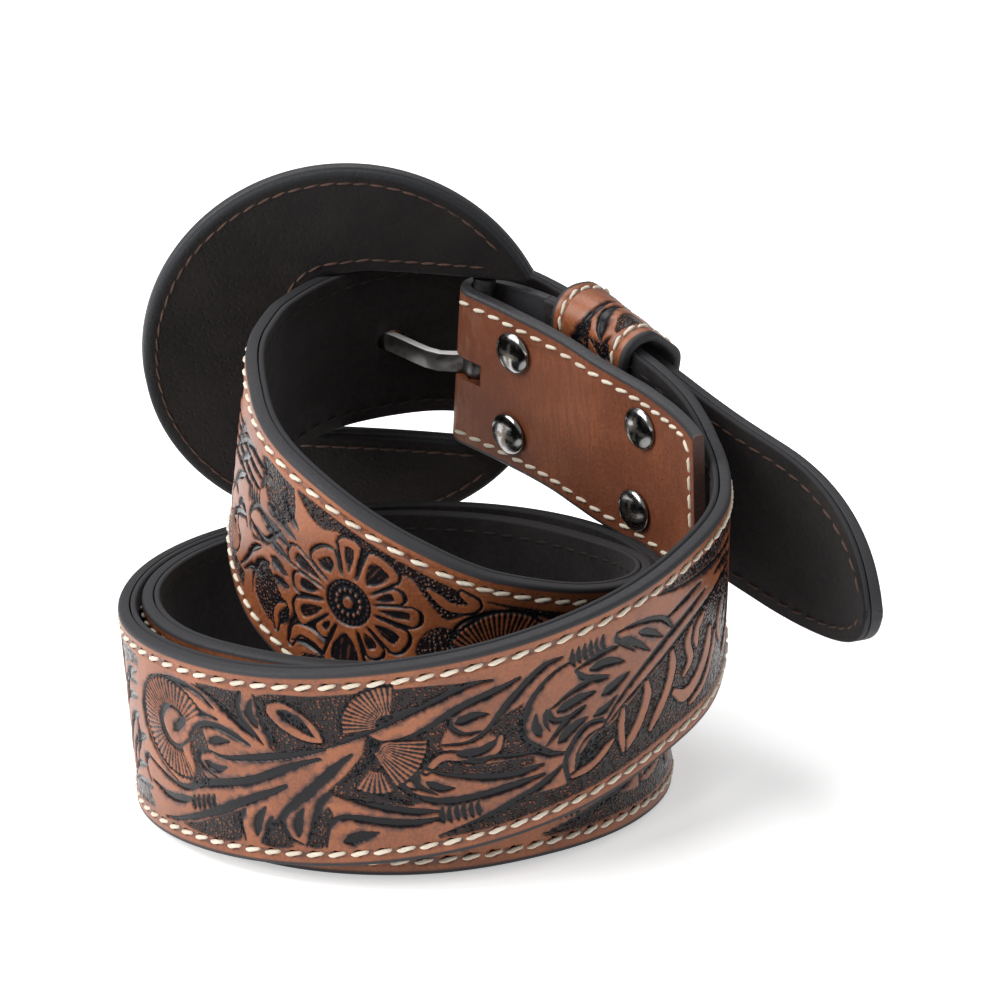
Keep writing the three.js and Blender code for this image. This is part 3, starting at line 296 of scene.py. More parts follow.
def lengths(points: Array) -> Array:
    """Distance along a line of points, from its first one."""
    return np.r_[0.0, np.cumsum(np.linalg.norm(np.diff(points, axis=0), axis=1))]


def between(at: Array, places: Array, values: Array) -> Array:
    """Columns of values, read at other places along straight lines."""
    return np.stack([np.interp(at, places, column) for column in values.T], axis=-1)


def spaced(points: Array, pitch: float, lead: float) -> tuple[Array, Array]:
    """Even places along a line of points.

    Args:
        points: The line, one row for each point.
        pitch: Distance between places, changed a little to fit.
        lead: Distance left free at both ends.

    Returns:
        The points at the places, and the unit directions of the line there.
    """
    along = lengths(points)
    free = along[-1] - 2 * lead
    count = max(int(round(free / pitch)), 1)
    places = lead + (np.arange(count) + 0.5) * free / count
    ahead, behind = (between(places + step, along, points) for step in (pitch / 8, -pitch / 8))
    return between(places, along, points), unit(ahead - behind)


def through_points(xs: Array, ys: Array, first: float | None = None) -> Callable[[Array], Array]:
    """Cubic through points with rising xs.

    Args:
        xs: Rising places.
        ys: Values there.
        first: The slope at the start, where it is known.

    Returns:
        A function of place.
    """
    last = len(xs) - 1
    index = np.arange(len(xs))
    ahead, behind = np.minimum(index + 1, last), np.maximum(index - 1, 0)
    slope = (ys[ahead] - ys[behind]) / (xs[ahead] - xs[behind])
    if first is not None:
        slope[0] = first

    def value(x: Array) -> Array:
        i = np.clip(np.searchsorted(xs, x, side="left") - 1, 0, last - 1)
        h = xs[i + 1] - xs[i]
        t = (x - xs[i]) / h
        start = (1 + 2 * t) * (1 - t) ** 2 * ys[i] + t * (1 - t) ** 2 * h * slope[i]
        return start + t * t * (3 - 2 * t) * ys[i + 1] + t * t * (t - 1) * h * slope[i + 1]

    return value


def curved(at: Array, places: Array, values: Array) -> Array:
    """Columns of values, read at other places along cubics."""
    return np.stack([through_points(places, column)(at) for column in values.T], axis=-1)


def pairs(values: Sequence[float]) -> Array:
    """A flat row of numbers as points of two each."""
    return np.reshape(values, (-1, 2)).astype(float)


def curve_through(points: Sequence[Sequence[float]], step: float) -> Array:
    """A smooth line through a few given points.

    Args:
        points: The points.
        step: About how far apart the line's points are.

    Returns:
        The line's points.
    """
    knots = np.array(points, dtype=float)
    along = lengths(knots)
    if len(knots) < 3:
        return np.linspace(*knots, max(int(along[-1] / step), 1) + 1)
    return curved(np.linspace(0.0, along[-1], max(int(along[-1] / step), 4) + 1), along, knots)


@dataclass
class Frames:
    """Sections along a strip: a point, unit directions, the width and the run of each."""

    point: Array
    along: Array
    side: Array
    out: Array
    width: Array
    run: Array

    def at(self, run: Array) -> "Frames":
        """Sections at other runs, between the ones that are kept."""
        run = np.atleast_1d(np.asarray(run, dtype=float))
        point, along, out = (between(run, self.run, v) for v in (self.point, self.along, self.out))
        along = unit(along)
        out = unit(out - dot(out, along) * along)
        width = np.interp(run, self.run, self.width)
        return Frames(point, along, np.cross(along, out), out, width, run)

    def place(self, across: Array, up: Array) -> Array:
        """Points at distances across and over the sections, a row for each section."""
        across, up = np.broadcast_arrays(np.atleast_2d(across), np.atleast_2d(up))
        return (self.point[:, None] + across[..., None] * self.side[:, None]
                + up[..., None] * self.out[:, None])

    def dense(self, step: float) -> "Frames":
        """The same strip with sections about step apart, on smooth curves through these."""
        run = np.linspace(self.run[0], self.run[-1], int(round(self.run[-1] / step)) + 1)
        point, side = (curved(run, self.run, values) for values in (self.point, self.side))
        along = unit(np.gradient(point, axis=0))
        side = unit(side - dot(side, along) * along)
        width = through_points(self.run, self.width)(run)
        return Frames(point, along, side, np.cross(side, along), width, run)

    def raised(self, up: float) -> "Frames":
        """The same sections, their points moved out."""
        return replace(self, point=self.point + up * self.out)

    def turned(self) -> "Frames":
        """The sections in the other order and seen from the other face."""
        signs = (1, -1, 1, -1, 1, -1)
        return Frames(*(sign * values[::-1] for sign, values in zip(signs, astuple(self))))


def frames_of(points: Array, leans: Array, widths: Array, runs: Array) -> Frames:
    """Frames of a line of points whose sections lean by angles in degrees.

    Args:
        points: The line.
        leans: The angles.
        widths, runs: The sections' widths and runs.
    """
    along = unit(np.vstack((points[1:], points[-1:])) - np.vstack((points[:1], points[:-1])))
    side = unit(UP - along[:, 2:3] * along)
    out = np.cross(side, along)
    lean = np.radians(leans)[:, None]
    return Frames(points, along, side * np.cos(lean) + out * np.sin(lean),
                  out * np.cos(lean) - side * np.sin(lean), widths, runs)


def joined(parts: Sequence[Frames]) -> Frames:
    """One strip made of several that follow each other."""
    return Frames(*(np.concatenate(column) for column in zip(*map(astuple, parts))))


# The belt's way round the coil


@dataclass
class Strap:
    """Sizes of the strap, and its run round the coil, the fold and the flap."""

    body_width: float = 44.5
    end_width: float = 37.5
    leather: float = 2.4
    lining: float = 1.2
    glue_gap: float = 0.3
    turn_gap: float = 0.4
    coil_radius: float = 60.0
    billet_lift: float = 60.0
    billet_end: float = 60.0
    billet_taper: float = 60.0
    tip_length: float = 42.0
    tip_roundness: float = 0.54
    tip_straight: float = 123.0
    tip_taper: float = 60.0
    tip_blunt: float = 1.2
    bar_diameter: float = 5.0
    bar_fit: float = 0.3
    bar_bearing: float = 80.5
    bar_reach: float = 1.135
    bar_lift: float = 0.915
    fold_wrap: float = 161.0
    flap_heading: float = -39.0
    flap_drop: float = -9.6
    bar_lean: float = 6.3
    flap_end_bearing: float = 5.0
    lining_start: float = 15.0
    section_step: float = 7.0
    main: Frames = field(init=False)
    flap: Frames = field(init=False)

    def __post_init__(self) -> None:
        """Lays the main strap and the flap from the tables."""
        self.thick = self.leather + self.lining + self.glue_gap
        self.grain = self.thick / 2
        self.fold_radius = self.bar_diameter / 2 + self.bar_fit + self.leather / 2
        self._set_bar()
        start = self._leaving(self.fold(np.array([self.fold_wrap])), 1,
                              (self.lining + self.glue_gap) / 2)
        rows = np.array(ROUTE, dtype=float)
        reach = rows[:, 1] * self.coil_radius + rows[:, 2] * (self.thick + self.turn_gap)
        radius, low, lean = self._curves(start, rows[:, 0], radius=reach,
                                         low=rows[:, 3] * self.billet_lift, lean=rows[:, 4])

        def clear(bearing: Array) -> Array:
            """The lower edge's height, kept over the floor."""
            return np.maximum(low(bearing), np.abs(np.sin(np.radians(lean(bearing)))) * self.grain)

        self.main = self._lay(radius, clear, lean, start["bearing"], rows[-1, 0], self.main_width)
        self.total = float(self.main.run[-1])
        self._lay_flap(radius)

    def _set_bar(self) -> None:
        """Sets the heel bar's directions and centre."""
        heading, drop = math.radians(self.flap_heading), math.radians(self.flap_drop)
        along = np.array((math.cos(heading) * math.cos(drop),
                          math.sin(heading) * math.cos(drop), math.sin(drop)))
        side = unit(UP - along[2] * along)
        near = np.cross(along, side)
        lean = math.radians(self.bar_lean)
        self.bar_along = along
        self.bar_side = side * math.cos(lean) + near * math.sin(lean)
        self.bar_near = near * math.cos(lean) - side * math.sin(lean)
        bearing = math.radians(self.bar_bearing)
        reach = self.bar_reach * self.coil_radius
        height = self.bar_lift * self.billet_lift + self.end_width / 2 * self.bar_side[2]
        self.bar_centre = np.array((reach * math.cos(bearing), reach * math.sin(bearing), height))

    def _lay_flap(self, main_radius: Callable[[Array], Array]) -> None:
        """Lays the flap, which stands off the strap's inner face."""
        start = self._leaving(self.fold(np.array([0.0])), -1, 0.0)
        rows = np.array(FLAP_ROUTE, dtype=float)
        offset = self.thick / 2 + self.leather / 2 + self.glue_gap
        reach = main_radius(-rows[:, 0]) - offset - rows[:, 1] * 2 * self.fold_radius
        radius, low, lean = self._curves(start, rows[:, 0], radius=reach,
                                         low=rows[:, 2] * self.billet_lift, lean=rows[:, 3])
        self.flap = self._lay(radius, low, lean, start["bearing"], self.flap_end_bearing,
                              lambda run, total: np.full_like(run, self.end_width))

    @staticmethod
    def _curves(start: dict, bearings: Array, **columns: Array) -> list[Callable]:
        """Curves of a route's columns, which begin with the fold's value and slope.

        Args:
            start: What the fold has for each column, by name.
            bearings: The route's bearings.
            columns: The route's values, by name.

        Returns:
            A function of minus the bearing for each column.
        """
        places = np.concatenate(([-start["bearing"]], -bearings))
        return [through_points(places, np.concatenate(([start[name]], values)),
                               start.get(name + "_slope")) for name, values in columns.items()]

    def main_width(self, run: Array, total: float) -> Array:
        """The strap's width at a run."""
        body = smooth((run - self.billet_end) / self.billet_taper)
        tip = smooth((total - run - self.tip_length - self.tip_straight) / self.tip_taper)
        return self.end_width + (self.body_width - self.end_width) * np.minimum(body, tip)

    def tip_half(self, run: Array, half: Array) -> Array:
        """Half the width, drawn in to the pointed tip."""
        t = np.clip((self.total - run) / self.tip_length, 0.0, 1.0)
        return np.maximum(half * (1 - (1 - t) ** 2) ** self.tip_roundness, self.tip_blunt)

    def fold(self, angles: Array) -> Frames:
        """Sections of the leather's middle round the heel bar, by angles in degrees."""
        a = np.radians(angles)[:, None]
        out = self.bar_near * np.cos(a) - self.bar_along * np.sin(a)
        along = -self.bar_near * np.sin(a) - self.bar_along * np.cos(a)
        count = len(angles)
        return Frames(self.bar_centre + out * self.fold_radius, along,
                      np.tile(self.bar_side, (count, 1)), out,
                      np.full(count, self.end_width), self.fold_radius * a[:, 0])

    def _leaving(self, section: Frames, way: int, inward: float) -> dict:
        """Bearing, radius, lower edge and slopes where a stretch leaves the fold.

        Args:
            section: The fold's section.
            way: 1 where the stretch goes on with the fold, else -1.
            inward: How far inside the leather's middle the stretch runs.
        """
        p = section.point[0] - section.out[0] * inward
        radius = math.hypot(p[0], p[1])
        radial = np.array((p[0], p[1], 0.0)) / radius
        around = np.array((p[1], -p[0], 0.0)) / radius
        along = section.along[0] * way
        side = unit(UP - along[2] * along)
        out = np.cross(side, along)
        per_degree = math.radians(radius / float(along @ around))
        lean = math.degrees(math.atan2(section.side[0] @ out, section.side[0] @ side))
        return {
            "bearing": math.degrees(math.atan2(p[1], p[0])), "radius": radius,
            "low": p[2] - self.end_width / 2 * section.side[0][2], "lean": lean,
            "radius_slope": float(along @ radial) * per_degree,
            "low_slope": along[2] * per_degree,
        }

    def _lay(self, radius: Callable, low: Callable, lean: Callable, start: float, end: float,
             width_at: Callable) -> Frames:
        """Lays a stretch from one bearing down to another.

        Args:
            radius: The centre line's radius, by minus the bearing.
            low: The lower edge's height, likewise.
            lean: The section's lean in degrees, likewise.
            start: The first bearing.
            end: The last one.
            width_at: Width from the run and the whole length.

        Returns:
            Sections a millimetre apart, on curves through ones that are section_step apart.
        """
        def plan(bearing: Array, z: Array) -> Array:
            """Points on the curves at bearings."""
            a = np.radians(bearing)
            r = radius(-bearing)
            return np.stack((r * np.cos(a), r * np.sin(a), z), axis=-1)

        fine = np.linspace(start, end, math.ceil((start - end) / 0.5) + 1)
        run = lengths(plan(fine, low(-fine)))
        runs = np.linspace(0.0, run[-1], int(round(run[-1] / self.section_step)) + 1)
        bearings = np.interp(runs, run, fine)
        widths = width_at(runs, run[-1])
        leans = lean(-bearings)
        frames = frames_of(plan(bearings, low(-bearings)), leans, widths, runs)
        for _ in range(2):
            heights = low(-bearings) + widths / 2 * frames.side[:, 2]
            frames = frames_of(plan(bearings, heights), leans, widths, runs)
        return frames.dense(1.0)

    def bearing_run(self, bearing: float) -> float:
        """The run at which the main strap passes a bearing on its first turn."""
        angle = np.degrees(np.unwrap(np.arctan2(self.main.point[:, 1], self.main.point[:, 0])))
        return float(np.interp(-bearing, -angle, self.main.run))


# Meshes


def row_metres(points: Array) -> Array:
    """Coil millimetres to metres in the row frame."""
    return (points.reshape(-1, 3) + COIL_AXIS) * MM


def in_scene(name: str, data: bpy.types.ID) -> Object:
    """A new object in the scene."""
    made = bpy.data.objects.new(name, data)
    bpy.context.scene.collection.objects.link(made)
    return made


@dataclass
class Shape:
    """A mesh being made: points in coil millimetres, faces, and named values of points."""

    points: Array
    faces: list[Array]
    values: dict[str, Array] = field(default_factory=dict)

    def to_object(self, name: str, material: Material) -> Object:
        """Makes the object.

        Args:
            name: Its name.
            material: Its finish.

        Returns:
            The object, its place in its mesh, shaded smooth but for faces with many corners.
        """
        mesh = bpy.data.meshes.new(name)
        faces = [face for rows in self.faces for face in rows.tolist()]
        mesh.from_pydata(row_metres(self.points).tolist(), [], faces)
        mesh.polygons.foreach_set("use_smooth", [len(face) <= 4 for face in faces])
        for key, value in self.values.items():
            kind, slot = ("FLOAT", "value") if value.ndim == 1 else ("FLOAT_VECTOR", "vector")
            layer = mesh.attributes.new(key, kind, "POINT")
            layer.data.foreach_set(slot, value.astype(np.float32).ravel())
        mesh.validate()
        mesh.materials.append(material)
        return in_scene(name, mesh)


def shell(rings: Array, closed: bool = False, values: dict[str, Array] | None = None,
          loose: bool = False) -> Shape:
    """A closed solid through rings of points.

    Args:
        rings: Points, by ring and by place on the ring.
        closed: Whether the last ring meets the first one, instead of two end caps.
        values: Named values of the points, in the rings' layout.
        loose: Whether the caps have points of their own.

    Returns:
        The shape, its faces pointing outwards.
    """
    count, size = rings.shape[:2]
    index = np.arange(count * size).reshape(count, size)
    near = index if closed else index[:-1]
    far = np.roll(index, -1, axis=0) if closed else index[1:]
    quads = np.stack((near, np.roll(near, -1, axis=1), np.roll(far, -1, axis=1), far), axis=-1)
    faces = [quads.reshape(-1, 4)]
    values = values or {}
    if loose:
        index = np.arange(count * size, (count + 2) * size).reshape(2, size)
        rings, *layers = (np.concatenate((v, v[:1], v[-1:])) for v in (rings, *values.values()))
        values = dict(zip(values, layers))
    points = rings.reshape(-1, 3)
    a, b, c, d = (points[faces[0][:, k]] for k in range(4))
    volume = np.sum(a * (np.cross(b, c) + np.cross(c, d)))
    if not closed:
        faces += [index[:1, ::-1], index[-1:]]
        for cap in faces[1:]:
            edge = points[cap[0]]
            volume += np.sum(edge.mean(axis=0) * np.cross(edge, np.roll(edge, -1, axis=0)))
    if volume < 0:
        faces = [f[:, ::-1] for f in faces]
    return Shape(points, faces, {k: v.reshape(-1, *v.shape[2:]) for k, v in values.items()})


def merged(shapes: Sequence[Shape]) -> Shape:
    """Several shapes as one, with the values that the first one has."""
    bases = np.cumsum([0] + [len(shape.points) for shape in shapes])
    faces = [f + base for shape, base in zip(shapes, bases) for f in shape.faces]
    values = {k: np.concatenate([shape.values[k] for shape in shapes]) for k in shapes[0].values}
    return Shape(np.concatenate([shape.points for shape in shapes]), faces, values)


def revolve(profile: Sequence[Sequence[float]], sides: int, origin: Array, axis: Array,
            start: Array) -> Shape:
    """A turned solid.

    Args:
        profile: Radius and height of each ring, from one end of the axis to the other.
        sides: Number of sides.
        origin: The place of height zero.
        axis: The direction of rising height.
        start: A direction that the first side faces.

    Returns:
        The shape, with the value local, its place in millimetres about the axis.
    """
    axis = unit(np.asarray(axis, dtype=float))
    second = unit(np.cross(axis, start))
    rows = np.array(profile, dtype=float)
    turn = np.arange(sides) / sides * 2 * math.pi
    local = np.stack((rows[:, :1] * np.cos(turn), rows[:, :1] * np.sin(turn),
                      np.broadcast_to(rows[:, 1:2], (len(rows), sides))), axis=-1)
    rings = origin + local @ np.stack((np.cross(second, axis), second, axis))
    return shell(rings, values={"local": local})


def apply_modifiers(made: Object) -> None:
    """Turns an object's modifiers into its plain mesh."""
    graph = bpy.context.evaluated_depsgraph_get()
    mesh = bpy.data.meshes.new_from_object(
        made.evaluated_get(graph), preserve_all_data_layers=True, depsgraph=graph)
    made.modifiers.clear()
    made.data = mesh


def carve(made: Object, tools: Sequence[Shape]) -> None:
    """Cuts shapes out of an object, one after another."""
    for tool in tools:
        cutter = tool.to_object("cutter", made.data.materials[0])
        step = made.modifiers.new("carve", "BOOLEAN")
        step.operation, step.solver, step.object = "DIFFERENCE", "EXACT", cutter
        apply_modifiers(made)
        bpy.data.objects.remove(cutter)


def box_shape(origin: Array, axes: Sequence[Array], low: Sequence[float],
              high: Sequence[float]) -> Shape:
    """A block between two corners in a frame of three axes.

    Args:
        origin, axes: The frame.
        low, high: The corners.
    """
    corners = np.array([(a, b, c) for c in (low[2], high[2]) for a, b in (
        (low[0], low[1]), (high[0], low[1]), (high[0], high[1]), (low[0], high[1]))])
    return shell((origin + corners @ np.stack(axes)).reshape(2, 4, 3))


def report(made: Object, slot: Slot, *nodes: str) -> Object:
    """Makes a piece ride on the belt, hides the CAD nodes that it replaces, and logs it.

    Args:
        made: The piece.
        slot: The record's slot that its finish comes from; not used.
        nodes: CAD nodes that it replaces.

    Returns:
        The piece.
    """
    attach(made, "root")
    if nodes:
        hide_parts(*nodes)
    triangles = sum(len(p.vertices) - 2 for p in made.data.polygons)
    LOG.info("%s: %d triangles", made.name, triangles)
    return made


# Repeated pieces, by geometry nodes


class NodeTree:
    """A short way to write nodes and their links."""

    def __init__(self, tree: bpy.types.NodeTree) -> None:
        """Keeps the tree to write in."""
        self.tree = tree

    def join(self, socket: Socket, value: object) -> None:
        """Links an input to another node's output, or gives it a plain value."""
        if isinstance(value, Socket):
            self.tree.links.new(value, socket)
        else:
            socket.default_value = value

    def add(self, kind: str, inputs: dict | None = None, **settings: object) -> bpy.types.Node:
        """Adds a node.

        Args:
            kind: Its type.
            inputs: Values or outputs of other nodes, by input.
            settings: The node's own settings.

        Returns:
            The node.
        """
        node = self.tree.nodes.new(kind)
        for key, value in settings.items():
            setattr(node, key, value)
        for key, value in (inputs or {}).items():
            self.join(node.inputs[key], value)
        return node


class CopyTree(NodeTree):
    """A geometry node tree that puts copies of one object on points, turned to their frames."""

    def __init__(self, template: Object, material: Material, slant: float = 0.0,
                 wobble: float = 0.0) -> None:
        """Links the nodes: turn to the frame, slant, copy, realize and finish.

        Args:
            template: The object to copy, in metres about its own origin.
            material: The finish of the copies.
            slant: Turn about out, in radians.
            wobble: Most of a random turn about out, in radians.
        """
        super().__init__(bpy.data.node_groups.new("copies on points", "GeometryNodeTree"))
        for way in ("INPUT", "OUTPUT"):
            self.tree.interface.new_socket("Geometry", in_out=way, socket_type="NodeSocketGeometry")
        first = self._towards("along", {}, axis="X", pivot_axis="AUTO")
        turned = self._towards("out", {"Rotation": first}, axis="Z", pivot_axis="X")
        chance = self.add("FunctionNodeRandomValue", {2: slant - wobble, 3: slant + wobble,
                                                      "Seed": COPY_SEED}, data_type="FLOAT")
        about = self.add("ShaderNodeCombineXYZ", {"Z": chance.outputs[1]})
        angle = self.add("FunctionNodeEulerToRotation", {"Euler": about.outputs[0]})
        final = self.add("FunctionNodeRotateRotation", {
            "Rotation": turned, "Rotate By": angle.outputs[0]}, rotation_space="LOCAL")
        copy = self.add("GeometryNodeObjectInfo", {"Object": template})
        placed = self.add("GeometryNodeInstanceOnPoints", {
            "Points": self.add("NodeGroupInput").outputs[0],
            "Instance": copy.outputs["Geometry"], "Rotation": final.outputs[0]})
        real = self.add("GeometryNodeRealizeInstances", {"Geometry": placed.outputs[0]})
        dressed = self.add("GeometryNodeSetMaterial",
                           {"Geometry": real.outputs[0], "Material": material})
        self.add("NodeGroupOutput", {"Geometry": dressed.outputs[0]})

    def _towards(self, name: str, inputs: dict, **settings: str) -> Socket:
        """A rotation with one axis turned to the points' named vector."""
        vector = self.add("GeometryNodeInputNamedAttribute", {"Name": name},
                          data_type="FLOAT_VECTOR").outputs["Attribute"]
        return self.add("FunctionNodeAlignRotationToVector", {**inputs, "Vector": vector},
                        **settings).outputs[0]

    def on(self, name: str, places: Places) -> Object:
        """One plain mesh object with copies on places.

        Args:
            name: Its name.
            places: Points, and unit directions along and out.
        """
        points, *directions = places
        mesh = bpy.data.meshes.new(name)
        mesh.from_pydata(row_metres(points).tolist(), [], [])
        for key, value in zip(("along", "out"), directions):
            layer = mesh.attributes.new(key, "FLOAT_VECTOR", "POINT")
            layer.data.foreach_set("vector", value.astype(np.float32).ravel())
        made = in_scene(name, mesh)
        made.modifiers.new("copies", "NODES").node_group = self.tree
        apply_modifiers(made)
        return made


# Finishes


class Tree(NodeTree):
    """A material's nodes, round one principled shader."""

    def __init__(self, name: str) -> None:
        """Starts a material with its shader."""
        self.material = bpy.data.materials.new(name)
        self.material.use_nodes = True
        super().__init__(self.material.node_tree)
        self.tree.nodes.clear()
        self.shader = self.add("ShaderNodeBsdfPrincipled")
        self.add("ShaderNodeOutputMaterial", {"Surface": self.shader.outputs[0]})
        self.place = self.add("ShaderNodeTexCoord").outputs["Object"]

    def set(self, **inputs: object) -> None:
        """Sets the shader's sockets, with _ for a space in their names."""
        for key, value in inputs.items():
            self.join(self.shader.inputs[key.replace("_", " ")], value)

    def attribute(self, name: str, output: str = "Fac") -> Socket:
        """A named value of the mesh."""
        return self.add("ShaderNodeAttribute", attribute_name=name).outputs[output]

    def noise(self, scale: float, detail: float = 2.0, stretch: Sequence[float] | None = None,
              roughness: float = 0.5) -> Socket:
        """Noise by the object's own place, scale in features a metre."""
        place = self.place
        if stretch:
            place = self.add("ShaderNodeMapping", {"Vector": place, "Scale": stretch}).outputs[0]
        return self.add("ShaderNodeTexNoise", {"Vector": place, "Scale": scale, "Detail": detail,
                                               "Roughness": roughness}).outputs[0]

    def cells(self, scale: float) -> Socket:
        """Distance from the middle of rounded cells, scale in cells a metre."""
        return self.add("ShaderNodeTexVoronoi",
                        {"Vector": self.place, "Scale": scale}).outputs["Distance"]

    def math(self, operation: str, a: object, b: object = 0.0, clamp: bool = False) -> Socket:
        """A sum, product or the like of two values."""
        return self.add("ShaderNodeMath", {0: a, 1: b}, operation=operation,
                        use_clamp=clamp).outputs[0]

    def range(self, value: object, low: float, high: float, to_low: float = 0.0,
              to_high: float = 1.0) -> Socket:
        """A value's range mapped to another range, with clamped ends."""
        return self.add("ShaderNodeMapRange", {
            "Value": value, "From Min": low, "From Max": high, "To Min": to_low,
            "To Max": to_high}, interpolation_type="SMOOTHSTEP").outputs[0]

    def tone(self, wide: tuple, fine: tuple, share: float) -> Socket:
        """The sum of two ranged values, the first one with a share of it."""
        return self.math("ADD", self.range(*wide, 0.0, share), self.range(*fine, 0.0, 1 - share))

    def mix(self, share: object, a: object, b: object) -> Socket:
        """Two colours mixed by a share."""
        return self.add("ShaderNodeMix", {0: share, 6: a, 7: b}, data_type="RGBA").outputs[2]

    def bump(self, height: object, distance: float, strength: float = 1.0,
             under: Socket | None = None) -> Socket:
        """Bump from a height between 0 and 1, distance in metres, over another bump."""
        inputs = {"Height": height, "Distance": distance, "Strength": strength}
        if under is not None:
            inputs["Normal"] = under
        return self.add("ShaderNodeBump", inputs).outputs[0]


Colour = tuple[float, float, float, float]
PAINT: Colour = (0.034, 0.034, 0.037, 1.0)


@dataclass(frozen=True)
class TooledFinish:
    """Brown leather with dark paste in its tooling and black painted edges."""

    name: str = "tooled leather"
    light: Colour = (0.325, 0.103, 0.036, 1.0)
    brown: Colour = (0.162, 0.044, 0.0145, 1.0)
    deep: Colour = (0.075, 0.024, 0.014, 1.0)
    paste: Colour = (0.0075, 0.007, 0.009, 1.0)
    edge: Colour = PAINT
    grain_scale: float = 1500.0
    pebble_scale: float = 1200.0

    def make(self) -> Material:
        """Makes the material, which reads the values antique, ground and edge."""
        t = Tree(self.name)
        patches = t.noise(70.0, 4.0)
        fine = t.noise(self.grain_scale, 3.0, roughness=0.6)
        tone = t.tone((patches, 0.3, 0.7), (fine, 0.35, 0.65), 0.6)
        brown = t.mix(tone, self.brown, self.light)
        pebble = t.cells(self.pebble_scale)
        ground = t.attribute("ground")
        seeds = t.math("MULTIPLY", t.range(pebble, 0.22, 0.5, 0.9, 0.0),
                       t.range(t.noise(420.0, 2.0), 0.4, 0.55, 0.1, 1.0))
        pits = t.math("MULTIPLY", ground, t.math("SUBTRACT", 0.96, seeds))
        rub = t.range(t.noise(600.0, 4.0), 0.32, 0.68, -0.15, 0.21)
        paste = t.math("ADD", t.attribute("antique"), rub, clamp=True)
        brown = t.mix(t.range(paste, 0.1, 0.42, 0.0, 0.75), brown, self.deep)
        paste = t.math("MAXIMUM", t.range(paste, 0.3, 0.84), pits)
        colour = t.mix(paste, brown, self.paste)
        edge = t.attribute("edge")
        colour = t.mix(edge, colour, self.edge)
        shine = t.math("ADD", t.range(fine, 0.3, 0.7, 0.32, 0.47), t.math("MULTIPLY", paste, -0.17))
        shine = t.math("ADD", shine, t.math("MULTIPLY", edge, 0.2))
        dull = t.math("MAXIMUM", edge, paste)
        t.set(Base_Color=colour, Roughness=shine, Specular_IOR_Level=t.range(dull, 0.0, 1.0, 0.5, 0.22))
        pebbles = t.bump(t.math("MULTIPLY", ground, t.range(pebble, 0.1, 0.6, 1.0, 0.0)), 0.0005)
        t.set(Normal=t.bump(fine, 0.00006, 0.8, pebbles))
        return t.material


@dataclass(frozen=True)
class PlainFinish:
    """Untooled leather with a fine grain: brown, or nearly black."""

    name: str
    light: Colour
    dark: Colour
    edge: Colour = PAINT
    roughness: tuple[float, float] = (0.42, 0.58)
    specular: float = 0.3
    grain_scale: float = 1300.0
    grain_depth: float = 0.00008
    scuff: float = 0.0
    # Colour of the real wear streaks at the flap's fold
    wear_and_top_highlight: Colour = (0.24, 0.12, 0.08, 1.0)

    def make(self) -> Material:
        """Makes the material, which reads the values edge and wear."""
        t = Tree(self.name)
        patches = t.noise(55.0, 5.0)
        fine = t.noise(self.grain_scale, 3.0, roughness=0.65)
        pores = t.cells(self.grain_scale * 0.8)
        tone = t.tone((patches, 0.3, 0.7), (fine, 0.3, 0.7), 0.65)
        colour = t.mix(tone, self.dark, self.light)
        if self.scuff:
            marks = t.range(t.noise(38.0, 6.0, (1.0, 1.0, 9.0), 0.7), 0.56, 0.66, 0.0, self.scuff)
            colour = t.mix(marks, colour, self.dark)
            fibres = t.range(t.noise(900.0, 3.0, (1.0, 1.0, 0.15), 0.6), 0.4, 0.62, 0.0, 0.45)
            colour = t.mix(fibres, colour, self.dark)
            creases = t.range(t.noise(420.0, 4.0, (1.0, 1.0, 0.3), 0.6), 0.4, 0.64, 0.0, 0.5)
            colour = t.mix(t.math("MULTIPLY", t.attribute("wear"), creases), colour, self.wear_and_top_highlight)
        colour = t.mix(t.attribute("edge"), colour, self.edge)
        t.set(Base_Color=colour, Roughness=t.range(fine, 0.3, 0.7, *self.roughness),
              Specular_IOR_Level=self.specular)
        low = t.bump(t.range(pores, 0.0, 0.5), self.grain_depth, 0.6)
        t.set(Normal=t.bump(fine, self.grain_depth, 0.8, low))
        return t.material


@dataclass(frozen=True)
class SuedeFinish:
    """Nearly black lining with a short nap."""

    name: str = "black lining"
    light: Colour = (0.024, 0.0205, 0.02, 1.0)
    dark: Colour = (0.0095, 0.0085, 0.0085, 1.0)
    edge: Colour = PAINT
    roughness: float = 0.86

    def make(self) -> Material:
        """Makes the material, which reads the value edge."""
        t = Tree(self.name)
        nap = t.noise(900.0, 5.0, roughness=0.7)
        tone = t.tone((t.noise(60.0, 4.0), 0.3, 0.7), (nap, 0.35, 0.65), 0.6)
        colour = t.mix(t.attribute("edge"), t.mix(tone, self.dark, self.light), self.edge)
        t.set(Base_Color=colour, Roughness=self.roughness,
              Sheen_Weight=0.04, Sheen_Roughness=0.5, Specular_IOR_Level=0.12)
        t.set(Normal=t.bump(nap, 0.0002, 0.7))
        return t.material


@dataclass(frozen=True)
class ThreadFinish:
    """Waxed two-ply thread."""

    name: str
    light: Colour
    dark: Colour

    def make(self) -> Material:
        """Makes the material, whose plies are in the mesh and fibres in the bump."""
        t = Tree(self.name)
        fibres = t.noise(5200.0, 3.0)
        tone = t.tone((fibres, 0.3, 0.7), (t.noise(160.0, 3.0), 0.3, 0.6), 0.55)
        t.set(Base_Color=t.mix(tone, self.dark, self.light), Roughness=0.62,
              Specular_IOR_Level=0.35, Normal=t.bump(fibres, 0.00008, 0.8))
        return t.material


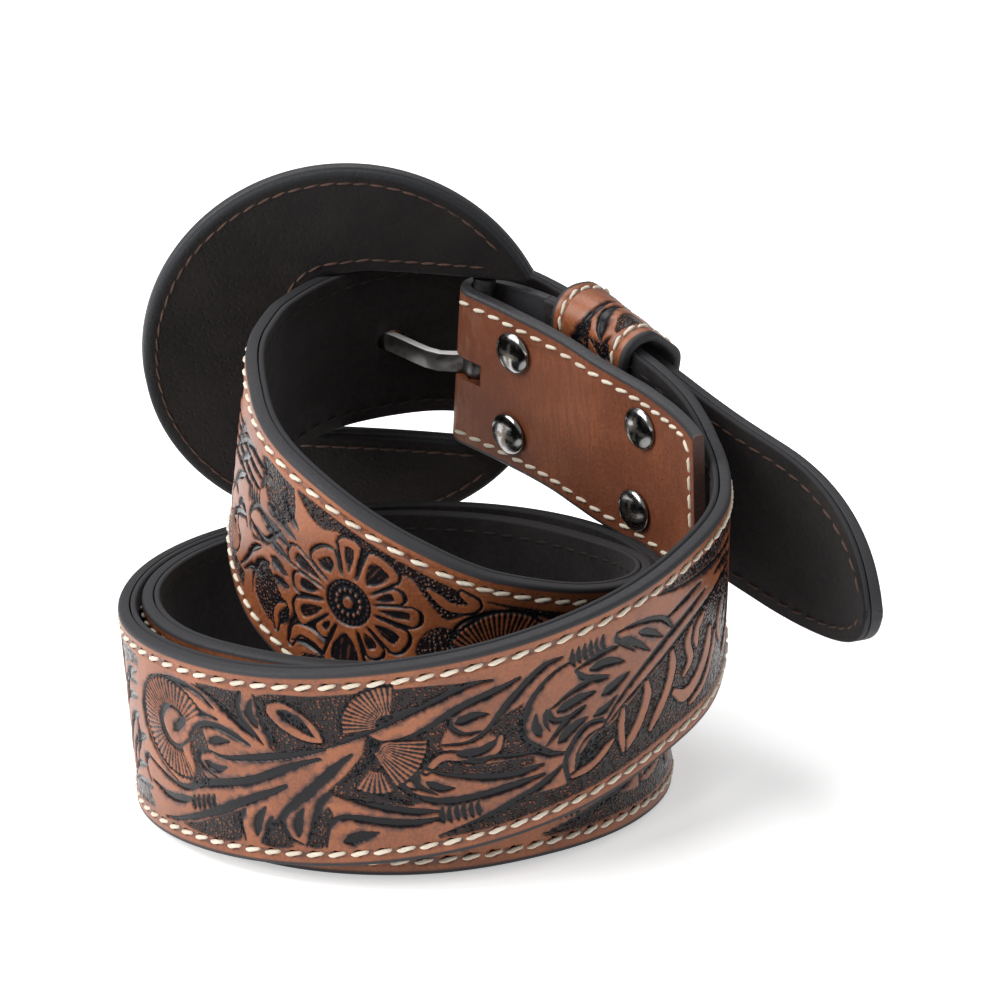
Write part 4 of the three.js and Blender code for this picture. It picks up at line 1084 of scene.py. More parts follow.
@dataclass(frozen=True)
class MetalFinish:
    """Plated metal with a little tarnish; with the top option set, its upward faces are painted pale, a
    painted highlight of the light from above.
    """

    name: str
    bright: Colour
    tarnish: Colour
    roughness: tuple[float, float]
    star: bool = False
    lit_top: bool = False

    def make(self) -> Material:
        """Makes the material. With star it reads the value local for a tarnished driver mark."""
        t = Tree(self.name)
        brushed = t.noise(500.0, 2.0)
        dull = t.range(t.noise(320.0, 5.0), 0.42, 0.72)
        if self.star:
            spot = t.add("ShaderNodeSeparateXYZ", {"Vector": t.attribute("local", "Vector")}).outputs
            sides = [t.math("ABSOLUTE", spot[axis]) for axis in "XY"]
            ragged = t.math("ADD", t.math("MINIMUM", *sides),
                            t.range(t.noise(1800.0, 3.0), 0.3, 0.7, -0.25, 0.25))
            mark = t.math("MULTIPLY", t.range(ragged, 0.3, 0.85, 0.75, 0.0),
                          t.range(t.math("MAXIMUM", *sides), 2.2, 3.3, 1.0, 0.0))
            dull = t.math("MAXIMUM", t.math("MULTIPLY", dull, 0.3), mark)
        rough = t.math("ADD", t.range(brushed, 0.3, 0.7, *self.roughness),
                       t.math("MULTIPLY", dull, 0.25))
        colour, metal = t.mix(dull, self.bright, self.tarnish), 1.0
        # Painted highlight: faces that point up are mixed towards pale grey and made less metallic, for the
        # light falling on them from above
        if self.lit_top:
            normal = t.add("ShaderNodeNewGeometry").outputs["Normal"]
            height = t.add("ShaderNodeSeparateXYZ", {"Vector": normal}).outputs["Z"]
            wear_and_top_highlight = t.range(height, 0.5, 0.7)
            colour = t.mix(wear_and_top_highlight, colour, (0.9, 0.9, 0.88, 1))
            metal = t.range(wear_and_top_highlight, 0.0, 1.0, 1.0, 0.25)
        t.set(Base_Color=colour, Metallic=metal, Roughness=rough,
              Normal=t.bump(brushed, 0.00002, 0.3))
        return t.material


class Finishes:
    """All the belt's materials, made once."""

    def __init__(self) -> None:
        """Makes each finish."""
        self.tooled = TooledFinish().make()
        self.flap = PlainFinish("flap leather", (0.27, 0.088, 0.038, 1), (0.14, 0.042, 0.02, 1),
                                scuff=0.5).make()
        self.lining = SuedeFinish().make()
        self.back = PlainFinish("black leather", (0.019, 0.016, 0.0155, 1), (0.007, 0.006, 0.006, 1),
                                (0.022, 0.023, 0.026, 1), (0.5, 0.7), 0.16, 1100.0, 0.00012).make()
        # The third brown thread is a darker copy of the brown one: painted shade for the seam on the
        # strap's inner face, inside the coil
        self.cream, self.brown, self.soiled = (
            ThreadFinish(name + " thread", light, dark).make() for name, light, dark in (
                ("cream", (0.78, 0.71, 0.59, 1), (0.52, 0.44, 0.34, 1)),
                ("brown", (0.105, 0.054, 0.037, 1), (0.025, 0.013, 0.01, 1)),
                ("soiled", (0.02, 0.013, 0.011, 1), (0.01, 0.007, 0.006, 1))))
        # The prong's steel has the painted highlight on its upward faces
        self.steel = MetalFinish("plated steel", (0.17, 0.165, 0.16, 1), (0.12, 0.11, 0.105, 1),
                                 (0.3, 0.38), lit_top=True).make()
        # Near-black steel for the heel bar: painted shade, for the bar that lies in shadow inside the fold
        self.dulled = MetalFinish("dulled steel", (0.05, 0.05, 0.05, 1), (0.03, 0.027, 0.025, 1),
                                  (0.42, 0.5)).make()
        self.screw = MetalFinish("polished screw", (0.36, 0.36, 0.36, 1), (0.24, 0.19, 0.14, 1),
                                 (0.1, 0.2), star=True).make()


# Tooling


class Relief:
    """Height, dark paste and pebbled ground of a tooled face, on a grid.

    The grid is made of runs and places across. Heights are millimetres over the face, and
    paste and ground go from 0 to 1.
    """

    depth: float = 0.42

    def __init__(self, run: Array, across: Array) -> None:
        """Starts a plain face on rising runs and rising places across."""
        self.run = run
        self.across = across
        self.height, self.paste, self.ground = np.zeros((3, len(run), len(across)))

    def window(self, points: Array, margin: float) -> Part:
        """The part of the grid near some points, which may be empty."""
        low, high = points.min(axis=0) - margin, points.max(axis=0) + margin
        return tuple(slice(*np.searchsorted(grid, ends))
                     for grid, ends in zip((self.run, self.across), zip(low, high)))

    def near(self, line: Array, margin: float) -> tuple[Part, Array, Array]:
        """How near the grid is to a line.

        Args:
            line: The line's points.
            margin: How far from the line to look.

        Returns:
            The part of the grid, its distance from the line, and the share of the line at the
            nearest place.
        """
        part = self.window(line, margin)
        x, y = self.run[part[0]][:, None], self.across[part[1]]
        best = np.full((len(x), len(y)), 1e9)
        place = np.zeros_like(best)
        for i, ((px, py), (dx, dy)) in enumerate(zip(line, np.diff(line, axis=0))):
            t = np.clip(((x - px) * dx + (y - py) * dy) / (dx * dx + dy * dy + 1e-12), 0, 1)
            gap = (x - px - t * dx) ** 2 + (y - py - t * dy) ** 2
            place = np.where(gap < best, i + t, place)
            best = np.minimum(gap, best)
        return part, np.sqrt(best), place / (len(line) - 1)

    def polar(self, run: float, across: float, reach: float) -> tuple[Part, Array, Array]:
        """The grid's part round a point, with distances from it and angles in degrees."""
        part = self.window(np.array(((run, across),)), reach)
        x, y = self.run[part[0]][:, None] - run, self.across[part[1]] - across
        return part, np.hypot(x, y), np.degrees(np.arctan2(y, x))

    def press(self, part: Part, mask: Array, depth: float, paste: float = 1.0) -> None:
        """Presses a mask into the face and fills it with paste.

        Args:
            part: The part of the grid.
            mask: How far each point is pressed, up to 1.
            depth, paste: How deep 1 is, and how much paste it holds.
        """
        self.height[part] = np.minimum(self.height[part], -depth * mask)
        self.paste[part] = np.maximum(self.paste[part], paste * mask)

    def cover(self, part: Part, mask: Array, height: Array | float = 0.0,
              paste: Array | float = 0.0) -> None:
        """Lays a mask of plain leather over the ground, with a height and paste of its own.

        Args:
            part: The part of the grid.
            mask: How much of each point is covered.
            height, paste: The leather's height and the paste on it.
        """
        for grid, value in ((self.height, height), (self.paste, paste), (self.ground, 0.0)):
            grid[part] = grid[part] * (1 - mask) + value * mask

    def channel(self, off: Array, half: float) -> None:
        """Presses the stitches' channel, by distances from its middle."""
        mask = smooth((half - np.abs(off)) / 0.5 + 0.4)
        self.height -= 0.2 * mask
        self.paste = np.maximum(self.paste, 0.28 * mask)

    def cut(self, width: float, points: Array) -> None:
        """A bevelled cut that swells near its first point and tapers to its last one."""
        part, gap, place = self.near(curve_through(points, 1.0), width / 2 + 1.8)
        swell = (np.minimum(1.0, (place + 0.03) / 0.2) ** 0.6
                 * np.minimum(1.0, (1.02 - place) / 0.5) ** 0.7)
        half = 0.38 * width * swell + 0.09
        self.press(part, smooth((half - gap) / 0.34 + 0.62), self.depth)
        fade = np.clip(1.0 - (gap - half) / (0.4 * width + 0.8), 0, 1) ** 1.6 * swell
        self.paste[part] = np.maximum(self.paste[part], 0.72 * fade)
        self.height[part] -= 0.14 * fade

    def ribbon(self, width: float, points: Array) -> None:
        """A raised brown ribbon with a dark contour, over pebbled ground."""
        part, gap, place = self.near(curve_through(points, 1.0), width / 2 + 1.6)
        half = width / 2 * np.minimum(1.0, 0.5 + 2.5 * np.minimum(place, 1 - place))
        self.press(part, smooth((half + 0.75 - gap) / 0.3), self.depth)
        self.cover(part, smooth((half - gap) / 0.3 + 0.5), 0.1)

    def field(self, outline: Array) -> None:
        """A closed outline of pebbled, dark ground."""
        line = curve_through(np.concatenate((outline, outline[:1])), 1.5)
        part, gap, _ = self.near(line, 1.0)
        x, y = self.run[part[0]][:, None], self.across[part[1]]
        inside = np.zeros(gap.shape, dtype=bool)
        for (ax, ay), (bx, by) in zip(line[:-1], line[1:]):
            crosses = (ay > y) != (by > y)
            inside ^= crosses & (x < ax + (bx - ax) * (y - ay) / (by - ay + 1e-12))
        mask = smooth(np.where(inside, gap, -gap) / 0.5 + 0.5)
        self.ground[part] = np.maximum(self.ground[part], mask)
        self.press(part, mask, 0.62 * self.depth, 0.3)

    def fan(self, run: float, across: float, inner: float, outer: float, start: float, end: float,
            ribs: int) -> None:
        """A shell of ribs round a point, between two radii and two angles in degrees.

        Args:
            run, across: The point.
            inner, outer: The radii.
            start, end: The angles.
            ribs: Number of ribs.
        """
        part, radius, angle = self.polar(run, across, outer + 1.2)
        share = ((angle - start) % 360) / (end - start)
        wave = 0.25 * np.abs(np.sin(share * ribs * math.pi))
        inside = share <= 1
        near = np.minimum(radius - inner, outer + wave - radius)
        body = np.where(inside, smooth(near / 0.3 + 0.5), 0.0)
        rim = np.where(inside, smooth((near + 0.9) / 0.3), 0.0)
        self.press(part, rim * (1 - body), self.depth)
        groove = smooth(1.5 * np.abs(np.cos(share * ribs * math.pi)) - 0.55)
        notch = 0.5 + 0.5 * np.cos(radius * 2 * math.pi / 1.05)
        dark = groove * (0.72 + 0.28 * notch)
        self.cover(part, body, -0.3 * dark, dark)

    def bars(self, first: Sequence[float], last: Sequence[float], half: Sequence[float],
             count: int) -> None:
        """A row of short bars between two middles.

        Args:
            first, last: The middles.
            half: From a bar's middle to its end.
            count: Number of bars.
        """
        for middle in np.linspace(first, last, count):
            self.cut(0.95, (middle - half, middle + (0.35, 0.0), middle + half))

    def dots(self, places: Iterable[Sequence[float]], size: float, light: float) -> None:
        """Round seeds: raised brown ones where light is 1, dark pits where it is 0."""
        for place in places:
            part, radius, _ = self.polar(*place, size + 0.5)
            seed = smooth((size - radius) / 0.3 + 0.4)
            self.cover(part, seed, 0.3 * light - 0.25, 1 - light)


@dataclass
class Flower:
    """A rosette: a seeded middle and two rings of fluted petals."""

    run: float = 850.7
    across: float = 1.9
    eye: float = 5.1
    reach: float = 14.2
    petals: int = 12

    def press(self, relief: Relief) -> None:
        """Tools the flower into a face."""
        part, radius, angle = relief.polar(self.run, self.across, self.reach + 4)
        warped = angle + 7.0 * np.sin(np.radians(2 * angle + 50)) + 4.0 * np.sin(np.radians(5 * angle))
        turn = (warped + 4.0) % 360 / 360 * self.petals
        which = np.floor(turn)
        lobe = np.abs(2 * (turn - which) - 1)
        long = self.reach + 1.9 * np.cos(which * 2.4) - 1.1 * (which % 2)
        edge = long * (1 - 0.16 * lobe ** 3)
        half = np.pi * radius / self.petals
        body = smooth(np.minimum(edge - radius, 9.0) / 0.3 + 0.5)
        rim = smooth((edge + 1.0 - radius) / 0.3)
        relief.press(part, rim * (1 - body) * (radius > self.eye), relief.depth)
        relief.cover(part, body)
        seam = smooth((0.12 + 0.05 * radius - (1 - lobe) * half) / 0.3 + 0.4)
        seam *= smooth((radius - self.eye) / 2)
        place = (radius - self.eye - 1.6) / (edge - self.eye - 3.4)
        wide = (half * (0.5 + 0.1 * np.cos(which * 1.7))
                * np.clip(place * (1.3 - place) * 2.4, 0, 1) ** 0.8)
        within = (place > 0) & (place < 1)
        hollow = np.where(within, smooth((wide - lobe * half) / 0.3 + 0.4), 0.0)
        flute = 0.82 + 0.18 * np.cos(lobe * half * 2 * math.pi / 0.75)
        relief.press(part, body * seam, relief.depth)
        relief.press(part, body * hollow, 0.34)
        relief.paste[part] *= np.where(hollow > 0.5, flute, 1.0)
        self._eye(relief)

    def _eye(self, relief: Relief) -> None:
        """Tools the seeded middle."""
        part, radius, _ = relief.polar(self.run, self.across, self.eye + 1)
        relief.press(part, smooth((self.eye - radius) / 0.3 + 0.5), relief.depth)
        # Columns: seeds, their ring's radius, their size, how light they are
        for count, reach, size, light in ((1, 0.0, 1.25, 0.85), (13, 2.75, 0.42, 0.8),
                                          (26, 4.35, 0.3, 0.45)):
            turn = np.arange(count) / count * 2 * math.pi
            places = zip(self.run + reach * np.cos(turn), self.across + reach * np.sin(turn))
            relief.dots(places, size, light)


@dataclass(frozen=True)
class Pattern:
    """One length of the tooled pattern, from its tables."""

    ground: Sequence
    ribbons: Sequence
    fans: Sequence
    bars: Sequence
    cuts: Sequence
    flower: Flower | None = None

    def press(self, relief: Relief) -> None:
        """Tools the pattern into a face whose runs are the pattern's own."""
        for outline in self.ground:
            relief.field(pairs(outline))
        for width, *points in self.ribbons:
            relief.ribbon(width, pairs(points))
        for width, *points in self.cuts:
            relief.cut(width, pairs(points))
        for row in self.fans:
            relief.fan(*row)
        for row in self.bars:
            relief.bars(*row)
        if self.flower:
            self.flower.press(relief)


@dataclass
class Tooling:
    """The whole strap's tooling: two patterns laid end to end, over and over."""

    body_half: float = 22.25
    stitch_inset: float = 3.05
    stitch_pitch: float = 4.6
    channel: float = 0.8

    def __post_init__(self) -> None:
        """Sets the two patterns, and where each is laid."""
        leaves = Pattern(LEAF_GROUND, LEAF_RIBBONS, LEAF_FANS, LEAF_BARS, LEAF_CUTS)
        bloom = Pattern(FLOWER_GROUND, FLOWER_RIBBONS, FLOWER_FANS, FLOWER_BARS, FLOWER_CUTS, Flower())
        # Columns: first run, last run, the pattern, and the pattern's run at the first one
        self.layout = (
            (0, 92, leaves, 198), (92, 290, leaves, 92), (290, 410, bloom, 795),
            (410, 608, leaves, 92), (608, 728, bloom, 795), (728, 795, leaves, 223),
            (795, 915, bloom, 795), (915, 1113, leaves, 92), (1113, 1200, bloom, 795),
        )

    def sew(self, relief: Relief, across: Array, half: Array) -> None:
        """Presses the stitches' channel and holes along both edges.

        Args:
            relief: The face.
            across: True places across of the grid's points.
            half: Half the true width at each run.
        """
        slope = np.gradient(half, relief.run)
        inside = (half[:, None] - np.abs(across)) / np.hypot(1.0, slope)[:, None]
        off = inside - self.stitch_inset
        relief.channel(off, self.channel)
        step = (relief.run / self.stitch_pitch + 0.5) % 1.0 - 0.5
        hole = np.hypot(step[:, None] * self.stitch_pitch, off)
        relief.press((slice(None), slice(None)), smooth((0.74 - hole) / 0.35 + 0.5), 0.6)

    def on(self, run: Array, share: Array) -> Relief:
        """Tools a face.

        Args:
            run: Rising runs of its sections.
            share: Rising shares of half the width.

        Returns:
            The relief, without the stitches' channel.
        """
        across = share * self.body_half
        whole = Relief(run, across)
        for start, end, pattern, source in self.layout:
            rows = slice(*np.searchsorted(run, (start, end)))
            if rows.stop <= rows.start:
                continue
            part = Relief(run[rows] - start + source, across)
            pattern.press(part)
            whole.height[rows], whole.paste[rows] = part.height, part.paste
            whole.ground[rows] = part.ground
        return whole


# Sub-assemblies


@dataclass
class LeatherStrip:
    """The strap's tooled leather, in stretches, with the flap and the fold."""

    strap: Strap
    tooling: Tooling = field(default_factory=Tooling)
    edge_round: float = 0.8
    flesh_round: float = 0.15
    edge_steps: int = 4
    prong_width: float = 4.2
    prong_ring: float = 1.1
    slot_ease: float = 0.5

    def profile(self, half: Array, columns: int) -> tuple[Array, Array, Array, Array]:
        """A closed leather section with rounded edges.

        Args:
            half: Half the width, for each section.
            columns: Number of points over the grain face.

        Returns:
            Places across for each section, heights over the leather's middle, how much of the
            edge paint each point has, and the face points' shares of half the width.
        """
        ease = self.edge_round
        top = self.strap.leather / 2
        share = np.linspace(-1.0, 1.0, columns)
        turn = np.radians(np.linspace(0.0, 90.0, self.edge_steps + 1))[1:]
        sides = np.concatenate((np.sin(turn), np.sin(turn)[::-1], [0.0]))
        heights = np.concatenate((top - ease * (1 - np.cos(turn)),
                                  self.flesh_round * (1 - np.cos(turn))[::-1] - top, [-top]))
        inner = (half - np.minimum(ease, half * 0.4))[:, None]
        outer = half[:, None]
        right = inner + (outer - inner) * sides
        flesh = self.edge_steps + np.arange(self.edge_steps)
        right[:, flesh] = outer - self.flesh_round * (1 - sides[flesh])
        across = np.hstack((inner * share, right, -right[:, ::-1]))
        up = np.concatenate((np.full(columns, top), heights, heights[::-1]))
        paint = np.concatenate((smooth((np.abs(share) - 0.975) / 0.02), np.ones(2 * len(sides))))
        return across, up, paint, share

    def stretch(self, name: str, frames: Frames, columns: int, half: Array,
                material: Material, tooled: bool = True) -> Object:
        """Makes one stretch of leather about the frames of its own middle.

        Args:
            name: The object's name.
            frames: Sections of the leather's middle.
            columns: Number of points over the grain face.
            half: Half the width at each section.
            material: The finish.
            tooled: Whether the face carries the pattern and the stitches' channel.

        Returns:
            The object.
        """
        across, up, paint, share = self.profile(half, columns)
        ups, edge = (np.tile(row, (len(across), 1)) for row in (up, paint))
        values = {"edge": edge, "antique": np.zeros(across.shape), "ground": np.zeros(across.shape)}
        values["edge"][frames.run > self.strap.total - 0.9] = 1.0
        values["edge"][frames.run < 0.05 - self.strap.flap.run[-1]] = 0.7
        values["wear"] = np.repeat(np.exp(-(frames.run[:, None] / 4.0) ** 2), across.shape[1], axis=1)
        if tooled:
            relief = self.tooling.on(frames.run, share * (1 - self.edge_round / self.tooling.body_half))
            self.tooling.sew(relief, across[:, :columns], half)
            ups[:, :columns] += relief.height
            values["antique"][:, :columns] = relief.paste
            values["ground"][:, :columns] = relief.ground
        loose = name not in ("flap_leather", "tooled_tip")
        return shell(frames.place(across, ups), values=values, loose=loose).to_object(name, material)

    def middle(self, run_from: float, run_to: float, step: float) -> Frames:
        """Frames of the leather's middle on the main strap."""
        count = max(int(round((run_to - run_from) / step)), 1)
        frames = self.strap.main.at(np.linspace(run_from, run_to, count + 1))
        return frames.raised(self.strap.grain - self.strap.leather / 2)

    def build(self, finishes: Finishes, punches: Shape) -> None:
        """Builds the flap with the fold, and the tooled stretches, with their holes."""
        strap = self.strap
        flap = strap.flap.turned()
        fold = strap.fold(np.linspace(0, strap.fold_wrap, 24)[1:-1])
        start = self.middle(0.0, strap.lining_start, 0.6)
        front = joined((flap, fold, start))
        made = [self.stretch("flap_leather", front, 72, front.width / 2, finishes.flap, False)]
        for name, begin, end, step, columns in STRETCHES:
            frames = self.middle(begin, min(end, strap.total), step)
            half = strap.tip_half(frames.run, frames.width / 2)
            made.append(self.stretch(name, frames, columns, half, finishes.tooled))
        carve(made[0], self.slot_tools())
        carve(made[-1], [punches])
        for piece in made:
            report(piece, Slot.TOOLED, "tooled_strap")

    def slot_tools(self) -> list[Shape]:
        """Blocks that cut the prong's slot through the fold."""
        strap = self.strap
        inner = strap.bar_diameter + 2 * strap.bar_fit
        ring = inner + 2 * self.prong_ring
        reach = math.sqrt(ring ** 2 - inner ** 2) / 2 + strap.glue_gap
        half = self.prong_width / 2 + self.slot_ease
        depth = strap.fold_radius + strap.leather
        tools = []
        for angle, way in ((0.0, 1), (strap.fold_wrap, -1)):
            away = strap.fold(np.array([angle])).along[0] * -way
            axes = (away, strap.bar_side, np.cross(away, strap.bar_side))
            tools.append(box_shape(strap.bar_centre, axes, (-depth, -half, -depth),
                                   (reach, half, depth)))
        return tools


@dataclass
class Lining:
    """The black lining behind the leather."""

    strap: Strap
    ease: float = 0.35
    step: float = 1.5

    def build(self, finishes: Finishes, punches: Shape) -> None:
        """Builds the lining in one piece, with its holes."""
        strap = self.strap
        count = int((strap.total - strap.lining_start) / self.step)
        frames = strap.main.at(np.linspace(strap.lining_start, strap.total, count))
        half = strap.tip_half(frames.run, frames.width / 2)[:, None]
        top = strap.grain - strap.leather - strap.glue_gap
        low, e = -strap.grain, self.ease
        inner = half - e
        right = np.hstack((half, half, inner + e * 0.3, inner, inner * 0.5))
        across = np.hstack((right, half * 0, -right[:, ::-1]))
        rise = [top, low + e, low + e * 0.3, low, low]
        paint = np.broadcast_to((1.0, 1.0, *[0.0] * 7, 1.0, 1.0), across.shape)
        rings = frames.place(across, np.array(rise + [low] + rise[::-1]))
        made = shell(rings, values={"edge": paint}).to_object("lining", finishes.lining)
        carve(made, [punches])
        report(made, Slot.LINING, "strap_lining")


@dataclass
class Buckle:
    """The buckle's two leathers, each a C round the window, bowed along the belt."""

    strap: Strap
    width: float = 90.0
    height: float = 87.5
    back: float = 2.0
    front: float = 2.7
    bow_radius: float = 250.0
    edge: float = 0.8
    horn_length: float = 16.1
    horn_blunt: float = 2.6
    rise: float = 1.0
    window_length: float = 41.0
    window_rise: float = 0.8
    window_fit: float = 1.6
    window_corner: float = 4.0
    upper_corner: float = 10.0
    tuck: float = 1.15
    steps: int = 260
    holes: int = 3
    hole_pitch: float = 25.4
    hole_radius: float = 2.7
    hole_offset: float = 21.8
    punch_depth: float = 5.5
    prong_way: tuple[float, float] = (-0.92, -0.39)

    def __post_init__(self) -> None:
        """Sets the buckle's directions and middle."""
        side = self.strap.bar_side
        self.u = unit(np.array((1.0, 0.0, 0.0)) - side[0] * side)
        self.v = side
        self.n = np.cross(self.u, side)
        self.centre = self.horn_length - self.width / 2
        self.bar_turn = -self.centre / self.bow_radius
        self.window_half = self.strap.end_width / 2 + self.window_fit
        self.pole = (-self.window_length / 4, self.window_rise)

    def on_buckle(self, u: Array, v: Array, n: Array) -> Array:
        """Points by distances along the belt, along the bar and out of the back."""
        u, v, n = (np.asarray(x, dtype=float)[..., None] for x in (u, v, n))
        return self.strap.bar_centre + u * self.u + v * self.v + n * self.n

    def on_bow(self, u: Array, v: Array, height: Array) -> Array:
        """Points of the bowed buckle, u measured round the bow."""
        turn = (u - self.centre) / self.bow_radius
        radius = self.bow_radius - height
        return self.on_buckle(
            radius * np.sin(turn) - self.bow_radius * math.sin(self.bar_turn), v,
            self.bow_radius * math.cos(self.bar_turn) - radius * np.cos(turn))

    def inside_rim(self, u: Array, v: Array) -> Array:
        """Whether points are within the round outline."""
        return np.hypot(2 * (u - self.centre) / self.width, 2 * (v - self.rise) / self.height) < 1

    def inside_window(self, u: Array, v: Array) -> Array:
        """Whether points are within the window, which is open at the right."""
        tuck = np.where(v > self.window_rise, self.tuck * smooth((-u - 24) / 9), 0.0)
        corner = np.where(v > self.window_rise, self.upper_corner, self.window_corner)
        past = np.maximum(-u - self.window_length + corner, 0)
        above = np.maximum(np.abs(v - self.window_rise) - self.window_half + tuck + corner, 0)
        return np.hypot(past, above) < corner

    def reach(self, inside: Callable, angle: Array) -> Array:
        """How far rays from the window's pole stay inside an outline.

        Args:
            inside: Tells whether points are within it.
            angle: The rays' angles.
        """
        near, far = np.zeros_like(angle), np.full_like(angle, self.width)
        for _ in range(40):
            middle = (near + far) / 2
            within = inside(self.pole[0] + middle * np.cos(angle),
                            self.pole[1] + middle * np.sin(angle))
            near, far = np.where(within, middle, near), np.where(within, far, middle)
        return near

    def sweep_angles(self, count: int) -> Array:
        """Ray angles from the upper horn round to the lower one."""
        def corner(v: float) -> float:
            """Where the rim meets a line along the belt."""
            share = 2 * (v - self.rise) / self.height
            return self.centre + self.width / 2 * math.sqrt(1 - share ** 2)

        top, bottom = self.window_rise + self.window_half, self.window_rise - self.window_half
        blunt = math.radians(self.horn_blunt)
        start = math.atan2(self.window_half, corner(top) - self.pole[0]) + blunt
        end = 2 * math.pi - math.atan2(self.window_half, corner(bottom) - self.pole[0]) - blunt
        return np.linspace(start, end, count)

    def outline(self, inside: Callable, inset: float, count: int = 700) -> Array:
        """A line (u, v) along an outline, moved in from it."""
        angle = self.sweep_angles(count)
        far = self.reach(inside, angle)
        line = np.stack((self.pole[0] + far * np.cos(angle), self.pole[1] + far * np.sin(angle)), -1)
        tangent = unit(np.gradient(line, axis=0))
        return line + inset * np.stack((-tangent[:, 1], tangent[:, 0]), axis=-1)

    def leather_shape(self, low: float, high: float, columns: int = 30) -> Shape:
        """One leather of the buckle between two heights over the bow's middle.

        Args:
            low, high: The heights.
            columns: Points across its face.
        """
        angle = self.sweep_angles(self.steps)[:, None]
        inner = self.reach(self.inside_window, angle)
        outer = self.reach(self.inside_rim, angle)
        ease = np.minimum(self.edge, (outer - inner) * 0.3)
        share = np.linspace(0, 1, columns)
        turn = np.radians(np.array((30.0, 60.0, 90.0)))
        face = inner + ease + (outer - inner - 2 * ease) * share
        down = outer - ease + ease * np.sin(turn)
        up = inner + ease - ease * np.sin(turn)
        reach = np.hstack((face, down, down[:, ::-1], face[:, ::-5], up, up[:, ::-1]))
        drop = ease * (1 - np.cos(turn))
        height = np.hstack((high + 0 * face, high - drop, low + drop[:, ::-1],
                            low + 0 * face[:, ::-5], low + drop, high - drop[:, ::-1]))
        paint = np.r_[smooth((share - 0.965) / 0.03), np.ones(6), 0 * share[::-5], np.ones(6)]
        points = self.on_bow(self.pole[0] + reach * np.cos(angle),
                             self.pole[1] + reach * np.sin(angle), height)
        return shell(points, values={"edge": np.broadcast_to(paint, reach.shape)})

    def hole_tools(self) -> Shape:
        """Punches for the strap's holes, the first one along the prong through it."""
        strap = self.strap
        runs = np.arange(strap.total - strap.tip_length - strap.tip_straight, strap.total, 0.25)
        offsets = (strap.main.at(runs).point - strap.bar_centre) @ self.u
        first = runs[np.argmax(offsets >= -self.hole_offset)]
        frames = strap.main.at(first + np.arange(self.holes) * self.hole_pitch)
        punches = []
        along, out = self.prong_way
        for i in range(self.holes):
            pronged = i == 0
            axis = along * self.u + out * self.n if pronged else frames.out[i]
            depth = self.punch_depth if pronged else strap.grain + 0.5
            radius = self.hole_radius
            profile = ((0.01, -depth), (radius, -depth), (radius, depth), (0.01, depth))
            punches.append(revolve(profile, 24, frames.point[i], axis, frames.side[i]))
        return merged(punches)

    def build(self, finishes: Finishes) -> None:
        """Builds both leathers."""
        gap = self.strap.glue_gap / 2
        for node, low, high, material, slot in (
                ("buckle_back", gap, gap + self.back, finishes.back, Slot.BLACK),
                ("buckle_front", -gap - self.front, -gap, finishes.flap, Slot.TOOLED)):
            made = self.leather_shape(low, high).to_object(node + "_leather", material)
            report(made, slot, node)


